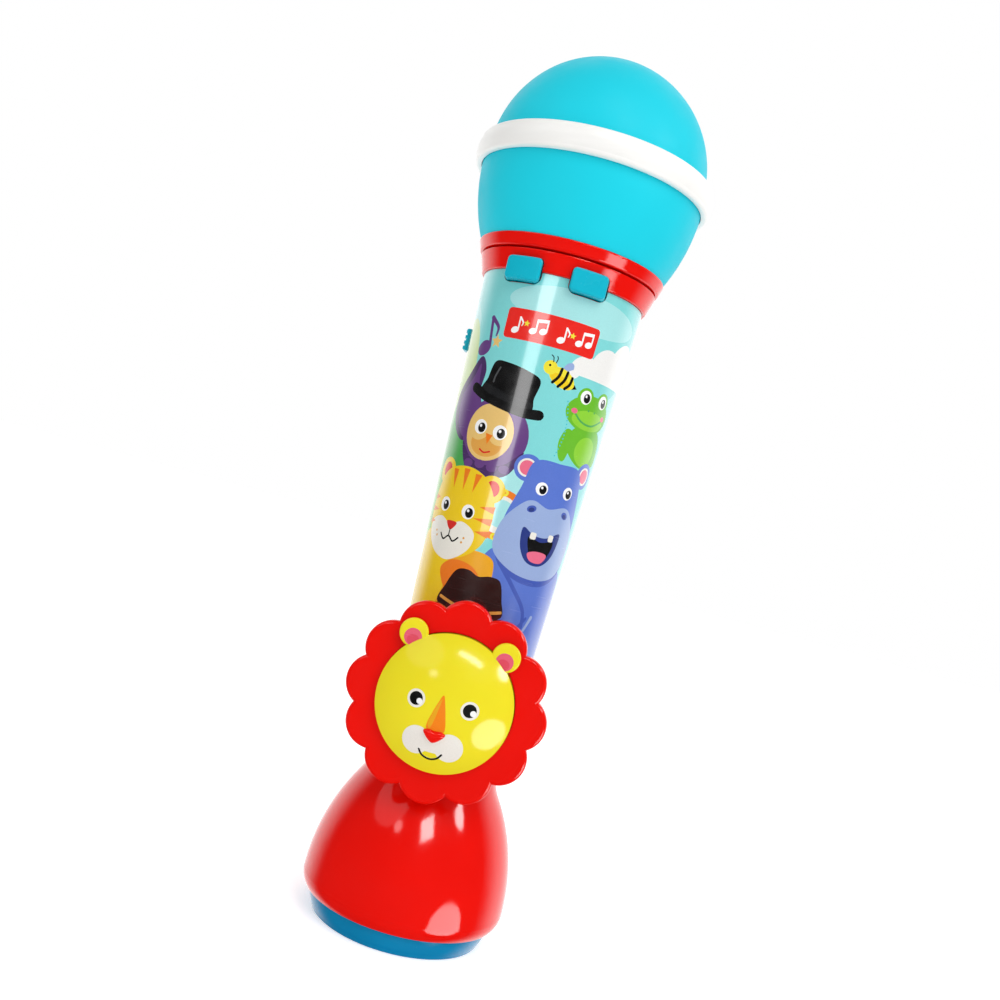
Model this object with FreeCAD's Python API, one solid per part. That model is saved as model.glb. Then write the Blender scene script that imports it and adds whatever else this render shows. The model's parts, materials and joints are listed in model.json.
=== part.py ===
# A toy microphone that stands on a bell-shaped base, with a round lion face that is pressed to sound and
# light up, two push buttons under the head, a slide switch on its left side, a round head with a white
# band, and three AAA cells behind a screwed door under the foot.
#
# Frame: millimetres, +Z up along the axis of the microphone, origin at the middle of the foot's resting
# plane, front (the lion) towards -Y. Pieces on the front are drawn in a "front frame", where x is to the
# right, y is up and z is the distance forward of the axis, and are then turned into place by to_front.
import FreeCAD, Part
import math
import os

V = FreeCAD.Vector
X_AXIS = V(1, 0, 0)
Y_AXIS = V(0, 1, 0)
Z_AXIS = V(0, 0, 1)

# ---------------------------------------------------------------- driving dimensions
HEIGHT = 240.0             # foot to the top of the dome
WALL = 2.0                 # moulded shells
SEAM = 0.16                # gap along the casing's parting line
RUNNING_GAP = 0.25         # round a button in its window
SCREW_GAP = 0.05           # between a screw and its pilot hole

FOOT_TOP = 5.9
CASING_BOTTOM = 6.0
CASING_BOTTOM_R = 26.2
BELL_R = 27.5              # widest radius of the base
BELL_WIDE_Z = 9.5
BELL_ARC_R = 53.0
BELL_TOP = 41.8
LABEL_BOTTOM = 47.0
LABEL_TOP = 175.2
BARREL_TOP_R = 22.2
LABEL_RECESS = 0.3
LABEL_THICKNESS = 0.25
LABEL_WINDOW_R = 12.2      # over the loudspeaker's grille
COLLAR_BOTTOM_R = 22.9
COLLAR_TOP = 180.4
COLLAR_TOP_R = 24.5
COLLAR_BORE_R = 22.0
NECK_BOTTOM = 180.9
NECK_TOP = 184.1
CUP_BOTTOM_R = 25.6
CUP_TOP = 205.9
CUP_TOP_R = 30.7
CUP_ARC_R = 45.8
BAND_BOTTOM = 204.0
BAND_TOP = 211.0
BAND_R = 33.0
DOME_R = 30.0
DOME_RIM = 209.1
HEAD_FLOOR = 186.0
HEAD_HOLE_R = 12.0
HEAD_SCREW_R = 17.0
HEAD_SCREW_ANGLES = (90, 210, 330)

BRACKET_R = 13.5           # what holds the microphone capsule
BRACKET_TUBE_R = 8.0
BRACKET_BOTTOM = 186.1
CAPSULE_R = 4.85
CAPSULE_BOTTOM = 207.05
BOOT_R = 6.4
BOOT_BOTTOM = 204.7
BOOT_TOP = 214.0

FACE_Z = 64.4              # height of the lion's middle
MANE_BACK = 21.6           # distances forward of the axis
MANE_FRONT = 25.4
MANE_FLOOR = 22.8
MANE_TIP_R = 25.9
MANE_NOTCH_R = 23.3
MANE_LOBES = 12
FACE_R = 17.3
FACE_SKIRT_BACK = 24.0
FACE_SKIRT_FRONT = 27.4
FACE_APEX = 34.0
FACE_WALL = 1.6
FACE_GAP = 0.2
FACE_HOLE_R = 10.4
FACE_BOARD_BACK = 15.8
FACE_BOARD_FRONT = 17.0
PEDESTAL_R = 16.2
PEDESTAL_BORE_R = 14.4
PEDESTAL_PLATE = 20.0
MANE_SCREW_R = 12.4
MANE_SCREW_ANGLES = (30, 150, 270)
BOARD_SCREW_ANGLES = (60, 180, 300)
LEG_ANGLES = (90, 210, 330)
PAD_X = 8.7
PAD_TOP = 19.8
SPRING_R = 5.9
SPRING_SEAT = 29.0
EAR_CENTRE = (11.85, 14.95)
EAR_R = 3.65
EAR_BACK = 26.6
EAR_FRONT = 27.7
NOSE_Y = -6.9

BUTTON_X = {-1: -9.9, 1: 7.3}
BUTTON_POST_X = {-1: -9.6, 1: 7.3}
BUTTON_FLANGE_X = {-1: (-13.9, -4.2), 1: (1.8, 12.8)}
BUTTON_Z = 175.1
BUTTON_SIZE = (9.3, 5.9)
BUTTON_CORNER = 1.1
BUTTON_PROUD = 1.4
BUTTON_PAD_FRONT = 9.0
BUTTON_PAD_R = 3.3

SWITCH_Z = 157.0
SWITCH_TRAVEL = 3.0
KNOB_HALF = (2.0, 3.0)     # half its width and half its length
KNOB_PROUD = 1.4
KNOB_FLANGE_X = (-18.1, -17.2)
LEVER_Y = (-3.4, -1.8)
LEVER_HALF = 0.8

BOARD_FRONT = 6.0          # main board, distances forward of the axis
BOARD_BACK = 4.8
BOARD_BOTTOM = 112.0
BOARD_TOP = 180.0
BOARD_HALF_WIDTH = 13.2

SPEAKER_Z = 138.0
SPEAKER_R = 13.3
SPEAKER_FACE_Y = 11.4
GRILLE_PITCH = 4.2
GRILLE_HOLE_R = 1.1

CELL_R = 5.2
CELL_CIRCLE = 6.4
CELL_BOTTOM = 7.2
CELL_LENGTH = 44.5
CELL_ANGLES = (90, 210, 330)
BOX_R = 12.9
BOX_BORE_R = 5.45
BOX_BOTTOM = 4.0
BOX_TOP = 54.5
BOX_ROOF = 52.5

DOOR_R = 17.5
DOOR_BOTTOM = 0.4
DOOR_TOP = 2.1
DOOR_SCREW_X = 14.6
BOX_SCREW_Y = 16.0
TAB_TOP = 58.0

MIDDLE_BOSS_Z = 166.0      # the boss that passes through the main board
FOOT_SCREW_R = 20.6
FOOT_SCREW_ANGLES = (35, 145, 270)
FOOT_BOSS_R = 1.9
CASING_SCREWS = ((-17.0, 24.0), (17.0, 24.0), (0.0, 100.0), (0.0, MIDDLE_BOSS_Z))
BOSS_R = 3.1
SCREW_SEAT_Y = 8.0


# ---------------------------------------------------------------- small drawing tools
def cylinder(radius, start, end):
    """A round bar between two points."""
    line = V(*end) - V(*start)
    return Part.makeCylinder(radius, line.Length, V(*start), line)


def block(x, y, z):
    """A box from three (low, high) pairs."""
    size = (x[1] - x[0], y[1] - y[0], z[1] - z[0])
    return Part.makeBox(*size, V(x[0], y[0], z[0]))


def fused(shapes):
    """Several overlapping solids as one, with no leftover seams."""
    first, *rest = shapes
    return first.fuse(rest).removeSplitter() if rest else first


def group(shapes):
    """Separate solids in one node."""
    return Part.makeCompound(shapes)


def section(start, *steps):
    """A closed face in the XZ plane from (r, z) points. A step is a point for a line, ("arc", middle, end)
    for an arc through three points, or ("bend", corner, end) for a curve tangent to both its sides."""
    edges = []
    here = V(start[0], 0, start[1])
    for step in [*steps, start]:
        kind, *points = step if isinstance(step[0], str) else ("line", step)
        points = [V(r, 0, z) for r, z in points]
        if (points[-1] - here).Length < 1e-6:
            continue
        if kind == "arc":
            curve = Part.Arc(here, points[0], points[1])
        elif kind == "bend":
            curve = Part.BezierCurve()
            curve.setPoles([here, *points])
        else:
            curve = Part.LineSegment(here, points[0])
        edges.append(curve.toShape())
        here = points[-1]
    return Part.Face(Part.Wire(edges))


def lathe(face, angle=360.0):
    """The section turned about Z, starting from +X and going towards +Y."""
    return face.revolve(V(), Z_AXIS, angle)


def rounded_plate(width, height, corner, low, high, centre=(0.0, 0.0)):
    """A rectangle with round corners in the XY plane, extruded from z = low to z = high."""
    x, y = width / 2, height / 2
    corners = ((x, y, 0), (-x, y, 90), (-x, -y, 180), (x, -y, 270))
    edges = []
    first = last = None
    for cx, cy, turn in corners:
        middle = V(cx - math.copysign(corner, cx), cy - math.copysign(corner, cy), 0)
        ends = [middle + corner * direction(turn + step) for step in (0, 45, 90)]
        if last is not None:
            edges.append(Part.LineSegment(last, ends[0]).toShape())
        edges.append(Part.Arc(*ends).toShape())
        first = first or ends[0]
        last = ends[2]
    edges.append(Part.LineSegment(last, first).toShape())
    plate = Part.Face(Part.Wire(edges)).extrude(V(0, 0, high - low))
    plate.translate(V(centre[0], centre[1], low))
    return plate


def direction(degrees):
    """The unit vector at that angle in the XY plane."""
    return V(math.cos(math.radians(degrees)), math.sin(math.radians(degrees)), 0)


def on_circle(radius, degrees):
    """(x, y) of a point on a circle."""
    point = radius * direction(degrees)
    return point.x, point.y


def to_front(shape, height=0.0):
    """Turns a shape from the front frame into the row frame, with its origin at that height."""
    placed = shape.copy()
    placed.rotate(V(), X_AXIS, 90)
    placed.translate(V(0, 0, height))
    return placed


def soft_edges(shape, radius, chosen):
    """Rounds the edges that the test picks, and leaves them sharp if the kernel can't."""
    edges = [e for e in shape.Edges if chosen(e)]
    try:
        return shape.makeFillet(radius, edges)
    except Part.OCCError:
        return shape


def coil(radius, wire_r, low, high, turns):
    """A helical spring about Z, from z = low to z = high over its whole wire."""
    rise = high - low - 2 * wire_r
    helix = Part.makeLongHelix(rise / turns, rise, radius)
    profile = Part.Wire(Part.makeCircle(wire_r, V(radius, 0, 0), Y_AXIS))
    spring = Part.Wire(helix).makePipeShell([profile], True, True)
    spring.translate(V(0, 0, low + wire_r))
    return spring


def lead(points, radius):
    """An insulated wire along straight runs joined by tangent arcs, as large as the runs allow."""
    corners = [V(*p) for p in points]
    edges = []
    here = corners[0]
    for before, corner, after in zip(corners, corners[1:], corners[2:]):
        back, on = (before - corner), (after - corner)
        reach = 0.45 * min(back.Length, on.Length)
        back.normalize()
        on.normalize()
        start, end = corner + reach * back, corner + reach * on
        half_turn = (math.pi - back.getAngle(on)) / 2
        arc_r = reach / math.tan(half_turn)
        inward = (back + on).normalize()
        middle = corner + inward * (arc_r / math.cos(half_turn) - arc_r)
        edges.append(Part.LineSegment(here, start).toShape())
        edges.append(Part.Arc(start, middle, end).toShape())
        here = end
    edges.append(Part.LineSegment(here, corners[-1]).toShape())
    first_run = corners[1] - corners[0]
    profile = Part.Wire(Part.makeCircle(radius, corners[0], first_run))
    return Part.Wire(edges).makePipeShell([profile], True, False)


def screw(point, heading, length, shank_r, head_r, head_height):
    """A cross-head screw whose head sits on the point, with its shank along the heading."""
    along = V(*heading)
    seat = V(*point)
    tip = 0.9
    shank = Part.makeCylinder(shank_r, length - tip, seat, along)
    end = Part.makeCone(shank_r, 0.3 * shank_r, tip, seat + along * (length - tip), along)
    head = Part.makeCylinder(head_r, head_height, seat - along * head_height, along)
    body = fused([head, shank, end])
    across = 0.5 * head_r
    slot = Part.makeBox(2.4 * across, 0.45 * across, 0.6 * head_height)
    slot.translate(V(-1.2 * across, -0.225 * across, 0))
    cross = slot.copy()
    cross.rotate(V(), Z_AXIS, 90)
    for cut in (slot, cross):
        cut.Placement = FreeCAD.Placement(V(), FreeCAD.Rotation(Z_AXIS, along)) * cut.Placement
        cut.translate(seat - along * (head_height * 1.01))
    return body.cut(slot).cut(cross)


def barrel_r(z):
    """The outside radius of the tapered barrel, over its label."""
    share = (z - BELL_TOP) / (LABEL_TOP - BELL_TOP)
    return bell_r(BELL_TOP) + share * (BARREL_TOP_R - bell_r(BELL_TOP))


def bell_r(z, inset=0.0):
    """The outside radius of the bell-shaped base above its widest line, or of its wall's inside."""
    arc = BELL_ARC_R - inset
    return BELL_R - BELL_ARC_R + math.sqrt(arc**2 - (z - BELL_WIDE_Z) ** 2)


def cup_r(z):
    """The outside radius of the head's lower cup."""
    return CUP_TOP_R - CUP_ARC_R + math.sqrt(CUP_ARC_R**2 - (z - CUP_TOP) ** 2)


# ---------------------------------------------------------------- casing
def casing_outline(recess):
    """Steps of the casing's outside, from its bottom edge to the collar's top edge."""
    bend_low, bend_high = BELL_TOP - 3.4, LABEL_BOTTOM - 1.4
    lip_middle = 7.5
    lip_arc_r = 5.36
    lip_r = BELL_R - lip_arc_r + math.sqrt(lip_arc_r**2 - (BELL_WIDE_Z - lip_middle) ** 2)
    middle = (BELL_WIDE_Z + bend_low) / 2
    return [
        ("arc", (lip_r, lip_middle), (BELL_R, BELL_WIDE_Z)),
        ("arc", (bell_r(middle), middle), (bell_r(bend_low), bend_low)),
        ("bend", (bell_r(BELL_TOP), BELL_TOP), (barrel_r(bend_high), bend_high)),
        (barrel_r(LABEL_BOTTOM), LABEL_BOTTOM),
        (barrel_r(LABEL_BOTTOM) - recess, LABEL_BOTTOM),
        (barrel_r(LABEL_TOP) - recess, LABEL_TOP),
        (COLLAR_BOTTOM_R - 0.4, LABEL_TOP),
        ("bend", (COLLAR_BOTTOM_R, LABEL_TOP), (COLLAR_BOTTOM_R + 0.12, LABEL_TOP + 0.4)),
        (COLLAR_TOP_R - 0.12, COLLAR_TOP - 0.4),
        ("bend", (COLLAR_TOP_R, COLLAR_TOP), (COLLAR_TOP_R - 0.4, COLLAR_TOP)),
    ]


def cavity_outline():
    """Steps of the casing's inside, from the collar's top edge down to its bottom edge."""
    depth = WALL + LABEL_RECESS
    low = 9.5
    middle = (low + BELL_TOP) / 2
    return [
        (COLLAR_BORE_R, COLLAR_TOP),
        (COLLAR_BORE_R, 176.4),
        (barrel_r(174.6) - depth, 174.6),
        (barrel_r(BELL_TOP + 2) - depth, BELL_TOP + 2),
        (bell_r(BELL_TOP, WALL) + 0.6, BELL_TOP),
        ("arc", (bell_r(middle, WALL), middle), (bell_r(low, WALL), low)),
        (CASING_BOTTOM_R - WALL, CASING_BOTTOM),
    ]


def outside_solid():
    """The space inside the casing's outer surface, behind its label."""
    steps = casing_outline(LABEL_RECESS)
    return lathe(section((CASING_BOTTOM_R, CASING_BOTTOM), *steps, (0, COLLAR_TOP), (0, CASING_BOTTOM)))


def cavity_solid():
    """The space inside the casing's walls."""
    top, *steps = cavity_outline()
    return lathe(section(top, *steps, (0, CASING_BOTTOM), (0, COLLAR_TOP)))


def casing_half():
    """The bare half shell on the +Y side, cut back from the parting plane by half of the seam."""
    face = section((CASING_BOTTOM_R, CASING_BOTTOM), *casing_outline(LABEL_RECESS), *cavity_outline())
    half = lathe(face, 180)
    return half.cut(block((-40, 40), (-1, SEAM / 2), (0, HEIGHT)))


def button_prism(side, grow, low, high):
    """A button's outline as a bar along the forward direction, in the front frame."""
    width, height = BUTTON_SIZE
    centre = (BUTTON_X[side], BUTTON_Z)
    corner = BUTTON_CORNER + grow
    return rounded_plate(width + 2 * grow, height + 2 * grow, corner, low, high, centre)


def switch_slot():
    """The slot that the switch knob slides in, through the left side of both casing halves."""
    half_width, half_length = KNOB_HALF
    low = SWITCH_Z - half_length - RUNNING_GAP
    high = SWITCH_Z + SWITCH_TRAVEL + half_length + RUNNING_GAP
    reach = half_width + RUNNING_GAP
    return block((-30, -15), (-reach, reach), (low, high))


def foot_boss(angle):
    """A boss inside the casing's bottom edge that takes a screw from the foot, with its web to the wall."""
    x, y = on_circle(FOOT_SCREW_R, angle)
    post = cylinder(FOOT_BOSS_R, (x, y, DOOR_TOP), (x, y, 16))
    web = block((FOOT_SCREW_R, 27), (-0.8, 0.8), (9.2, 16))
    web.rotate(V(), Z_AXIS, angle)
    pilot = cylinder(1.1 + SCREW_GAP, (x, y, 0), (x, y, 13))
    return post, web, pilot


def front_casing():
    outside, cavity = outside_solid(), cavity_solid()
    half = casing_half()
    half.rotate(V(), Z_AXIS, 180)
    pedestal = to_front(Part.makeCylinder(PEDESTAL_R, MANE_BACK - 9, V(0, 0, 9)), FACE_Z).cut(cavity)
    post_length = PEDESTAL_PLATE + 0.48 - FACE_BOARD_FRONT
    board_posts = [
        to_front(Part.makeCylinder(1.9, post_length, point), FACE_Z)
        for point in face_board_points(FACE_BOARD_FRONT + 0.02)
    ]
    bosses = [
        cylinder(BOSS_R, (x, -SEAM / 2, z), (x, -30, z)).common(outside) for x, z in CASING_SCREWS
    ]
    foot_posts = [foot_boss(a) for a in FOOT_SCREW_ANGLES if a > 180]
    added = [pedestal, *bosses]
    for post, web, _ in foot_posts:
        added += [post, web.common(outside)]
    body = fused([half, *added])
    bore = to_front(Part.makeCylinder(PEDESTAL_BORE_R, PEDESTAL_PLATE - 4, V(0, 0, 4)), FACE_Z)
    hole = to_front(Part.makeCylinder(FACE_HOLE_R, 10, V(0, 0, 15)), FACE_Z)
    cuts = [bore, hole, switch_slot()]
    cuts += [to_front(button_prism(side, RUNNING_GAP, 10, 30)) for side in (-1, 1)]
    cuts += [cylinder(1.25 + SCREW_GAP, (x, 0, z), (x, -9, z)) for x, z in CASING_SCREWS]
    cuts += [pilot for _, _, pilot in foot_posts]
    cuts += [
        to_front(Part.makeCylinder(1.15, 10, V(*on_circle(MANE_SCREW_R, a), 15)), FACE_Z)
        for a in MANE_SCREW_ANGLES
    ]
    return fused([body.cut(cuts), *board_posts]).cut([
        to_front(Part.makeCylinder(0.9 + SCREW_GAP, 3.4, point), FACE_Z)
        for point in face_board_points(FACE_BOARD_FRONT - 0.1)
    ])


def grille_holes():
    """Centres of the loudspeaker's holes on a triangular grid inside a circle."""
    found = []
    for row in range(-2, 3):
        for column in range(-2, 3):
            x = GRILLE_PITCH * (column + row / 2)
            z = GRILLE_PITCH * row * math.sin(math.radians(60))
            if math.hypot(x, z) < 2.1 * GRILLE_PITCH:
                found.append((x, z))
    return found


def rear_casing():
    outside, cavity = outside_solid(), cavity_solid()
    bosses = [
        cylinder(BOSS_R + 0.9, (x, SEAM / 2, z), (x, 30, z)).common(outside) for x, z in CASING_SCREWS
    ]
    seat = cylinder(SPEAKER_R + 0.9, (0, SPEAKER_FACE_Y + 0.1, SPEAKER_Z), (0, 30, SPEAKER_Z))
    seat = seat.cut(cylinder(SPEAKER_R - 1.6, (0, 0, SPEAKER_Z), (0, 40, SPEAKER_Z))).common(outside)
    foot_posts = [foot_boss(a) for a in FOOT_SCREW_ANGLES if a < 180]
    added = [*bosses, seat]
    for post, web, _ in foot_posts:
        added += [post, web.common(outside)]
    body = fused([casing_half(), *added])
    cuts = [switch_slot()]
    cuts += [cylinder(1.6, (x, 0, z), (x, 30, z)) for x, z in CASING_SCREWS]
    cuts += [cylinder(2.9, (x, SCREW_SEAT_Y, z), (x, 30, z)) for x, z in CASING_SCREWS]
    cuts += [
        cylinder(GRILLE_HOLE_R, (x, SPEAKER_FACE_Y, SPEAKER_Z + z), (x, 30, SPEAKER_Z + z))
        for x, z in grille_holes()
    ]
    cuts += [pilot for _, _, pilot in foot_posts]
    return body.cut(cuts)


def casing_screws():
    return group([
        screw((x, SCREW_SEAT_Y, z), (0, -1, 0), 15.5, 1.25, 2.6, 1.8) for x, z in CASING_SCREWS
    ])


def barrel_label():
    """The printed film round the barrel, with openings for the buttons, switch, lion, grille and screws."""
    low, high = LABEL_BOTTOM + 0.1, LABEL_TOP - 0.1
    face = section(
        (barrel_r(low), low), (barrel_r(high), high),
        (barrel_r(high) - LABEL_THICKNESS, high), (barrel_r(low) - LABEL_THICKNESS, low),
    )
    film = lathe(face)
    half_width, half_length = KNOB_HALF
    window = block(
        (-30, -10), (-half_width - 1.1, half_width + 1.1),
        (SWITCH_Z - half_length - 1.3, SWITCH_Z + SWITCH_TRAVEL + half_length + 1.3),
    )
    cuts = [window, cylinder(LABEL_WINDOW_R, (0, 5, SPEAKER_Z), (0, 30, SPEAKER_Z))]
    cuts += [to_front(button_prism(side, RUNNING_GAP + 0.15, 10, 30)) for side in (-1, 1)]
    cuts += [cylinder(3.2, (x, 5, z), (x, 30, z)) for x, z in CASING_SCREWS if z > LABEL_BOTTOM]
    cuts.append(to_front(Part.makeCylinder(PEDESTAL_R + 0.2, 30), FACE_Z))
    return film.cut(cuts)


# ---------------------------------------------------------------- head
def neck_ring():
    """The red ring between the casing and the head, with a spigot that is open behind the buttons."""
    low_r, high_r = COLLAR_TOP_R + 0.4, 25.9
    face = section(
        (HEAD_HOLE_R, 182.2), (20.0, 182.2), (20.0, 176.6), (21.8, 176.6), (21.8, NECK_BOTTOM),
        (low_r - 0.5, NECK_BOTTOM),
        ("bend", (low_r, NECK_BOTTOM), (low_r + 0.16, NECK_BOTTOM + 0.5)),
        (high_r - 0.1, NECK_TOP - 0.5),
        ("bend", (high_r, NECK_TOP), (high_r - 0.5, NECK_TOP)),
        (HEAD_HOLE_R, NECK_TOP),
    )
    ring = lathe(face)
    notch = block((-16.5, 16.5), (-30, -5), (170, NECK_BOTTOM - 0.4))
    holes = [
        cylinder(1.35, (*on_circle(HEAD_SCREW_R, a), 180), (*on_circle(HEAD_SCREW_R, a), 186))
        for a in HEAD_SCREW_ANGLES
    ]
    return ring.cut([notch, *holes])


def head_cup():
    """The lower half of the head, with a floor that is screwed to the neck ring from below."""
    low = NECK_TOP + 0.05
    middle = (low + CUP_TOP) / 2
    face = section(
        (HEAD_HOLE_R, low), (CUP_BOTTOM_R - 0.1, low),
        ("arc", (cup_r(middle), middle), (CUP_TOP_R, CUP_TOP)),
        (CUP_TOP_R - WALL, CUP_TOP),
        ("arc", (cup_r(middle) - WALL, middle + 0.6), (cup_r(HEAD_FLOOR) - WALL - 0.4, HEAD_FLOOR)),
        (HEAD_HOLE_R, HEAD_FLOOR),
    )
    posts = [
        cylinder(2.6, (*on_circle(HEAD_SCREW_R, a), low), (*on_circle(HEAD_SCREW_R, a), 191))
        for a in HEAD_SCREW_ANGLES
    ]
    pilots = [
        cylinder(1.1 + SCREW_GAP, (*on_circle(HEAD_SCREW_R, a), 180), (*on_circle(HEAD_SCREW_R, a), 190))
        for a in HEAD_SCREW_ANGLES
    ]
    return fused([lathe(face), *posts]).cut(pilots)


def head_screws():
    return group([
        screw((*on_circle(HEAD_SCREW_R, a), 182.2), (0, 0, 1), 7.4, 1.1, 2.2, 1.5)
        for a in HEAD_SCREW_ANGLES
    ])


def head_band():
    """The white ring round the head: a web between the two shells, with a lip over the edge of each."""
    lip_low, lip_high = CUP_TOP_R + 0.15, DOME_R + 0.12
    web_r = CUP_TOP_R - WALL - 0.3
    bulge = BAND_R - 0.5
    middle = (BAND_BOTTOM + BAND_TOP) / 2
    face = section(
        (lip_low, BAND_BOTTOM), (bulge - 1.0, BAND_BOTTOM),
        ("bend", (bulge, BAND_BOTTOM), (bulge, BAND_BOTTOM + 1.1)),
        ("arc", (BAND_R, middle), (bulge, BAND_TOP - 1.1)),
        ("bend", (bulge, BAND_TOP), (bulge - 1.0, BAND_TOP)),
        (lip_high, BAND_TOP), (lip_high, DOME_RIM - 0.1),
        (web_r, DOME_RIM - 0.1), (web_r, CUP_TOP + 0.1), (lip_low, CUP_TOP + 0.1),
    )
    return lathe(face)


def head_dome():
    """The upper half of the head, a plain moulded hemisphere."""
    centre = HEIGHT - DOME_R
    inner = DOME_R - WALL
    slant = math.sqrt(0.5)
    face = section(
        (DOME_R, DOME_RIM), (DOME_R, centre),
        ("arc", (DOME_R * slant, centre + DOME_R * slant), (0, HEIGHT)),
        (0, HEIGHT - WALL),
        ("arc", (inner * slant, centre + inner * slant), (inner, centre)),
        (inner, DOME_RIM),
    )
    return lathe(face)


def capsule_bracket():
    """A tube on a flange that stands in the head and holds the microphone capsule near the dome."""
    base = V(0, 0, BRACKET_BOTTOM)
    plate = Part.makeCylinder(BRACKET_R, 1.6, base)
    tube = Part.makeCylinder(BRACKET_TUBE_R, BOOT_TOP - 2 - BRACKET_BOTTOM, base)
    ribs = []
    for angle in (30, 150, 270):
        rib = block((BRACKET_TUBE_R - 1, BRACKET_R), (-0.7, 0.7), (187, 198))
        rib.rotate(V(), Z_AXIS, angle)
        ribs.append(rib)
    body = fused([plate, tube, *ribs])
    bore = Part.makeCylinder(BRACKET_TUBE_R - 1.5, 40, V(0, 0, BOOT_BOTTOM - 0.1))
    cable_way = Part.makeCylinder(4.0, 40, V(0, 0, 180))
    return body.cut([bore, cable_way])


def capsule_boot():
    """The rubber sleeve round the capsule."""
    sleeve = Part.makeCylinder(BOOT_R, BOOT_TOP - BOOT_BOTTOM, V(0, 0, BOOT_BOTTOM))
    pocket = Part.makeCylinder(CAPSULE_R + 0.05, 10, V(0, 0, CAPSULE_BOTTOM - 0.05))
    cable_way = Part.makeCylinder(2.0, 10, V(0, 0, 200))
    return sleeve.cut([pocket, cable_way])


def microphone_capsule():
    """The electret capsule: a can with a stepped face and a sound hole."""
    can = Part.makeCylinder(CAPSULE_R, 6.7, V(0, 0, CAPSULE_BOTTOM))
    floor = CAPSULE_BOTTOM + 5.75
    spots = [(0, 0), *(on_circle(1.6, a) for a in range(0, 360, 60))]
    return can.cut([Part.makeCylinder(0.4, 2, V(x, y, floor)) for x, y in spots])


# ---------------------------------------------------------------- buttons and switch
def push_button(side):
    """A push button: a cap that follows the barrel, a stop flange inside, and a post to its pad."""
    proud = lathe(section((0, 165), (barrel_r(175) + BUTTON_PROUD, 165), (26.6, 186), (0, 186)))
    cap = to_front(button_prism(side, 0, 13.0, 30)).common(proud)
    cap = soft_edges(cap, 0.6, lambda e: e.BoundBox.YMax < -17.0 and e.Length > 0.5)
    left, right = BUTTON_FLANGE_X[side]
    flange = rounded_plate(
        right - left, BUTTON_SIZE[1] + 1.8, 1.2, 12.8, 14.0, ((left + right) / 2, BUTTON_Z)
    )
    post_base = V(BUTTON_POST_X[side], BUTTON_Z, BUTTON_PAD_FRONT)
    post = Part.makeCylinder(1.8, 13 - BUTTON_PAD_FRONT, post_base)
    return fused([cap, to_front(flange), to_front(post)])


def rubber_pad(radius, low, high, centre):
    """A silicone contact dome on a board, in the front frame."""
    waist = low + 0.4 * (high - low)
    face = section(
        (0, low), (radius, low), (radius, low + 0.6), (0.75 * radius, waist + 0.5),
        (0.6 * radius, high - 0.02), (0, high - 0.02),
    )
    pad = lathe(face)
    pad.translate(V(centre[0], centre[1], 0))
    return pad


def button_pad(side):
    centre = (BUTTON_POST_X[side], BUTTON_Z)
    return to_front(rubber_pad(BUTTON_PAD_R, BOARD_FRONT + 0.02, BUTTON_PAD_FRONT, centre))


def switch_knob():
    """The slide switch's knob, ribbed for the thumb, on a flange that covers its slot from inside."""
    half_width, half_length = KNOB_HALF
    outer = -(barrel_r(SWITCH_Z) + KNOB_PROUD)
    low, high = SWITCH_Z - half_length, SWITCH_Z + half_length
    handle = block((outer, KNOB_FLANGE_X[0] + 0.5), (-half_width, half_width), (low, high))
    handle = soft_edges(handle, 0.7, lambda e: e.BoundBox.XMax < KNOB_FLANGE_X[0] - 1)
    flange = block(KNOB_FLANGE_X, (-3.8, 3.8), (SWITCH_Z - 7.2, SWITCH_Z + 7.2))
    grooves = [
        block((outer - 1, outer + 0.45), (-5, 5), (SWITCH_Z + step - 0.35, SWITCH_Z + step + 0.35))
        for step in (-1.5, 0, 1.5)
    ]
    pocket_x = (KNOB_FLANGE_X[0] - 0.6, KNOB_FLANGE_X[1] + 1)
    pocket_y = (LEVER_Y[0] - 0.1, LEVER_Y[1] + 0.1)
    pocket_z = (SWITCH_Z - LEVER_HALF - 0.1, SWITCH_Z + LEVER_HALF + 0.1)
    pocket = block(pocket_x, pocket_y, pocket_z)
    return fused([handle, flange]).cut([pocket, *grooves])


def switch_lever():
    """The lever of the slide switch, held in the knob's pocket."""
    return block((-18.4, -16.0), LEVER_Y, (SWITCH_Z - LEVER_HALF, SWITCH_Z + LEVER_HALF))


def slide_switch():
    """The body of the slide switch, soldered to the board's left edge by its foot."""
    middle = SWITCH_Z + SWITCH_TRAVEL / 2
    can = block((-17.0, -13.4), (-BOARD_BACK + 0.02, -0.4), (middle - 5.5, middle + 5.5))
    foot = block((-13.6, -10.4), (-BOARD_BACK + 0.02, -BOARD_BACK + 0.5), (middle - 4, middle + 4))
    travel = (SWITCH_Z - LEVER_HALF - 0.2, SWITCH_Z + SWITCH_TRAVEL + LEVER_HALF + 0.2)
    slot = block((-18, -15.8), (LEVER_Y[0] - 0.15, LEVER_Y[1] + 0.15), travel)
    return fused([can, foot]).cut(slot)


# ---------------------------------------------------------------- lion
def face_board_points(z):
    """Where the face's board is screwed, at that distance forward."""
    return [V(*on_circle(MANE_SCREW_R, angle), z) for angle in BOARD_SCREW_ANGLES]


def mane_outline():
    """The scalloped outline of the mane: twelve arcs between notches, one of them at the top."""
    edges = []
    step = 360 / MANE_LOBES
    for lobe in range(MANE_LOBES):
        middle = 90 + lobe * step
        ends = [MANE_NOTCH_R * direction(middle + turn) for turn in (-step / 2, step / 2)]
        edges.append(Part.Arc(ends[0], MANE_TIP_R * direction(middle), ends[1]).toShape())
    return Part.Face(Part.Wire(edges))


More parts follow.
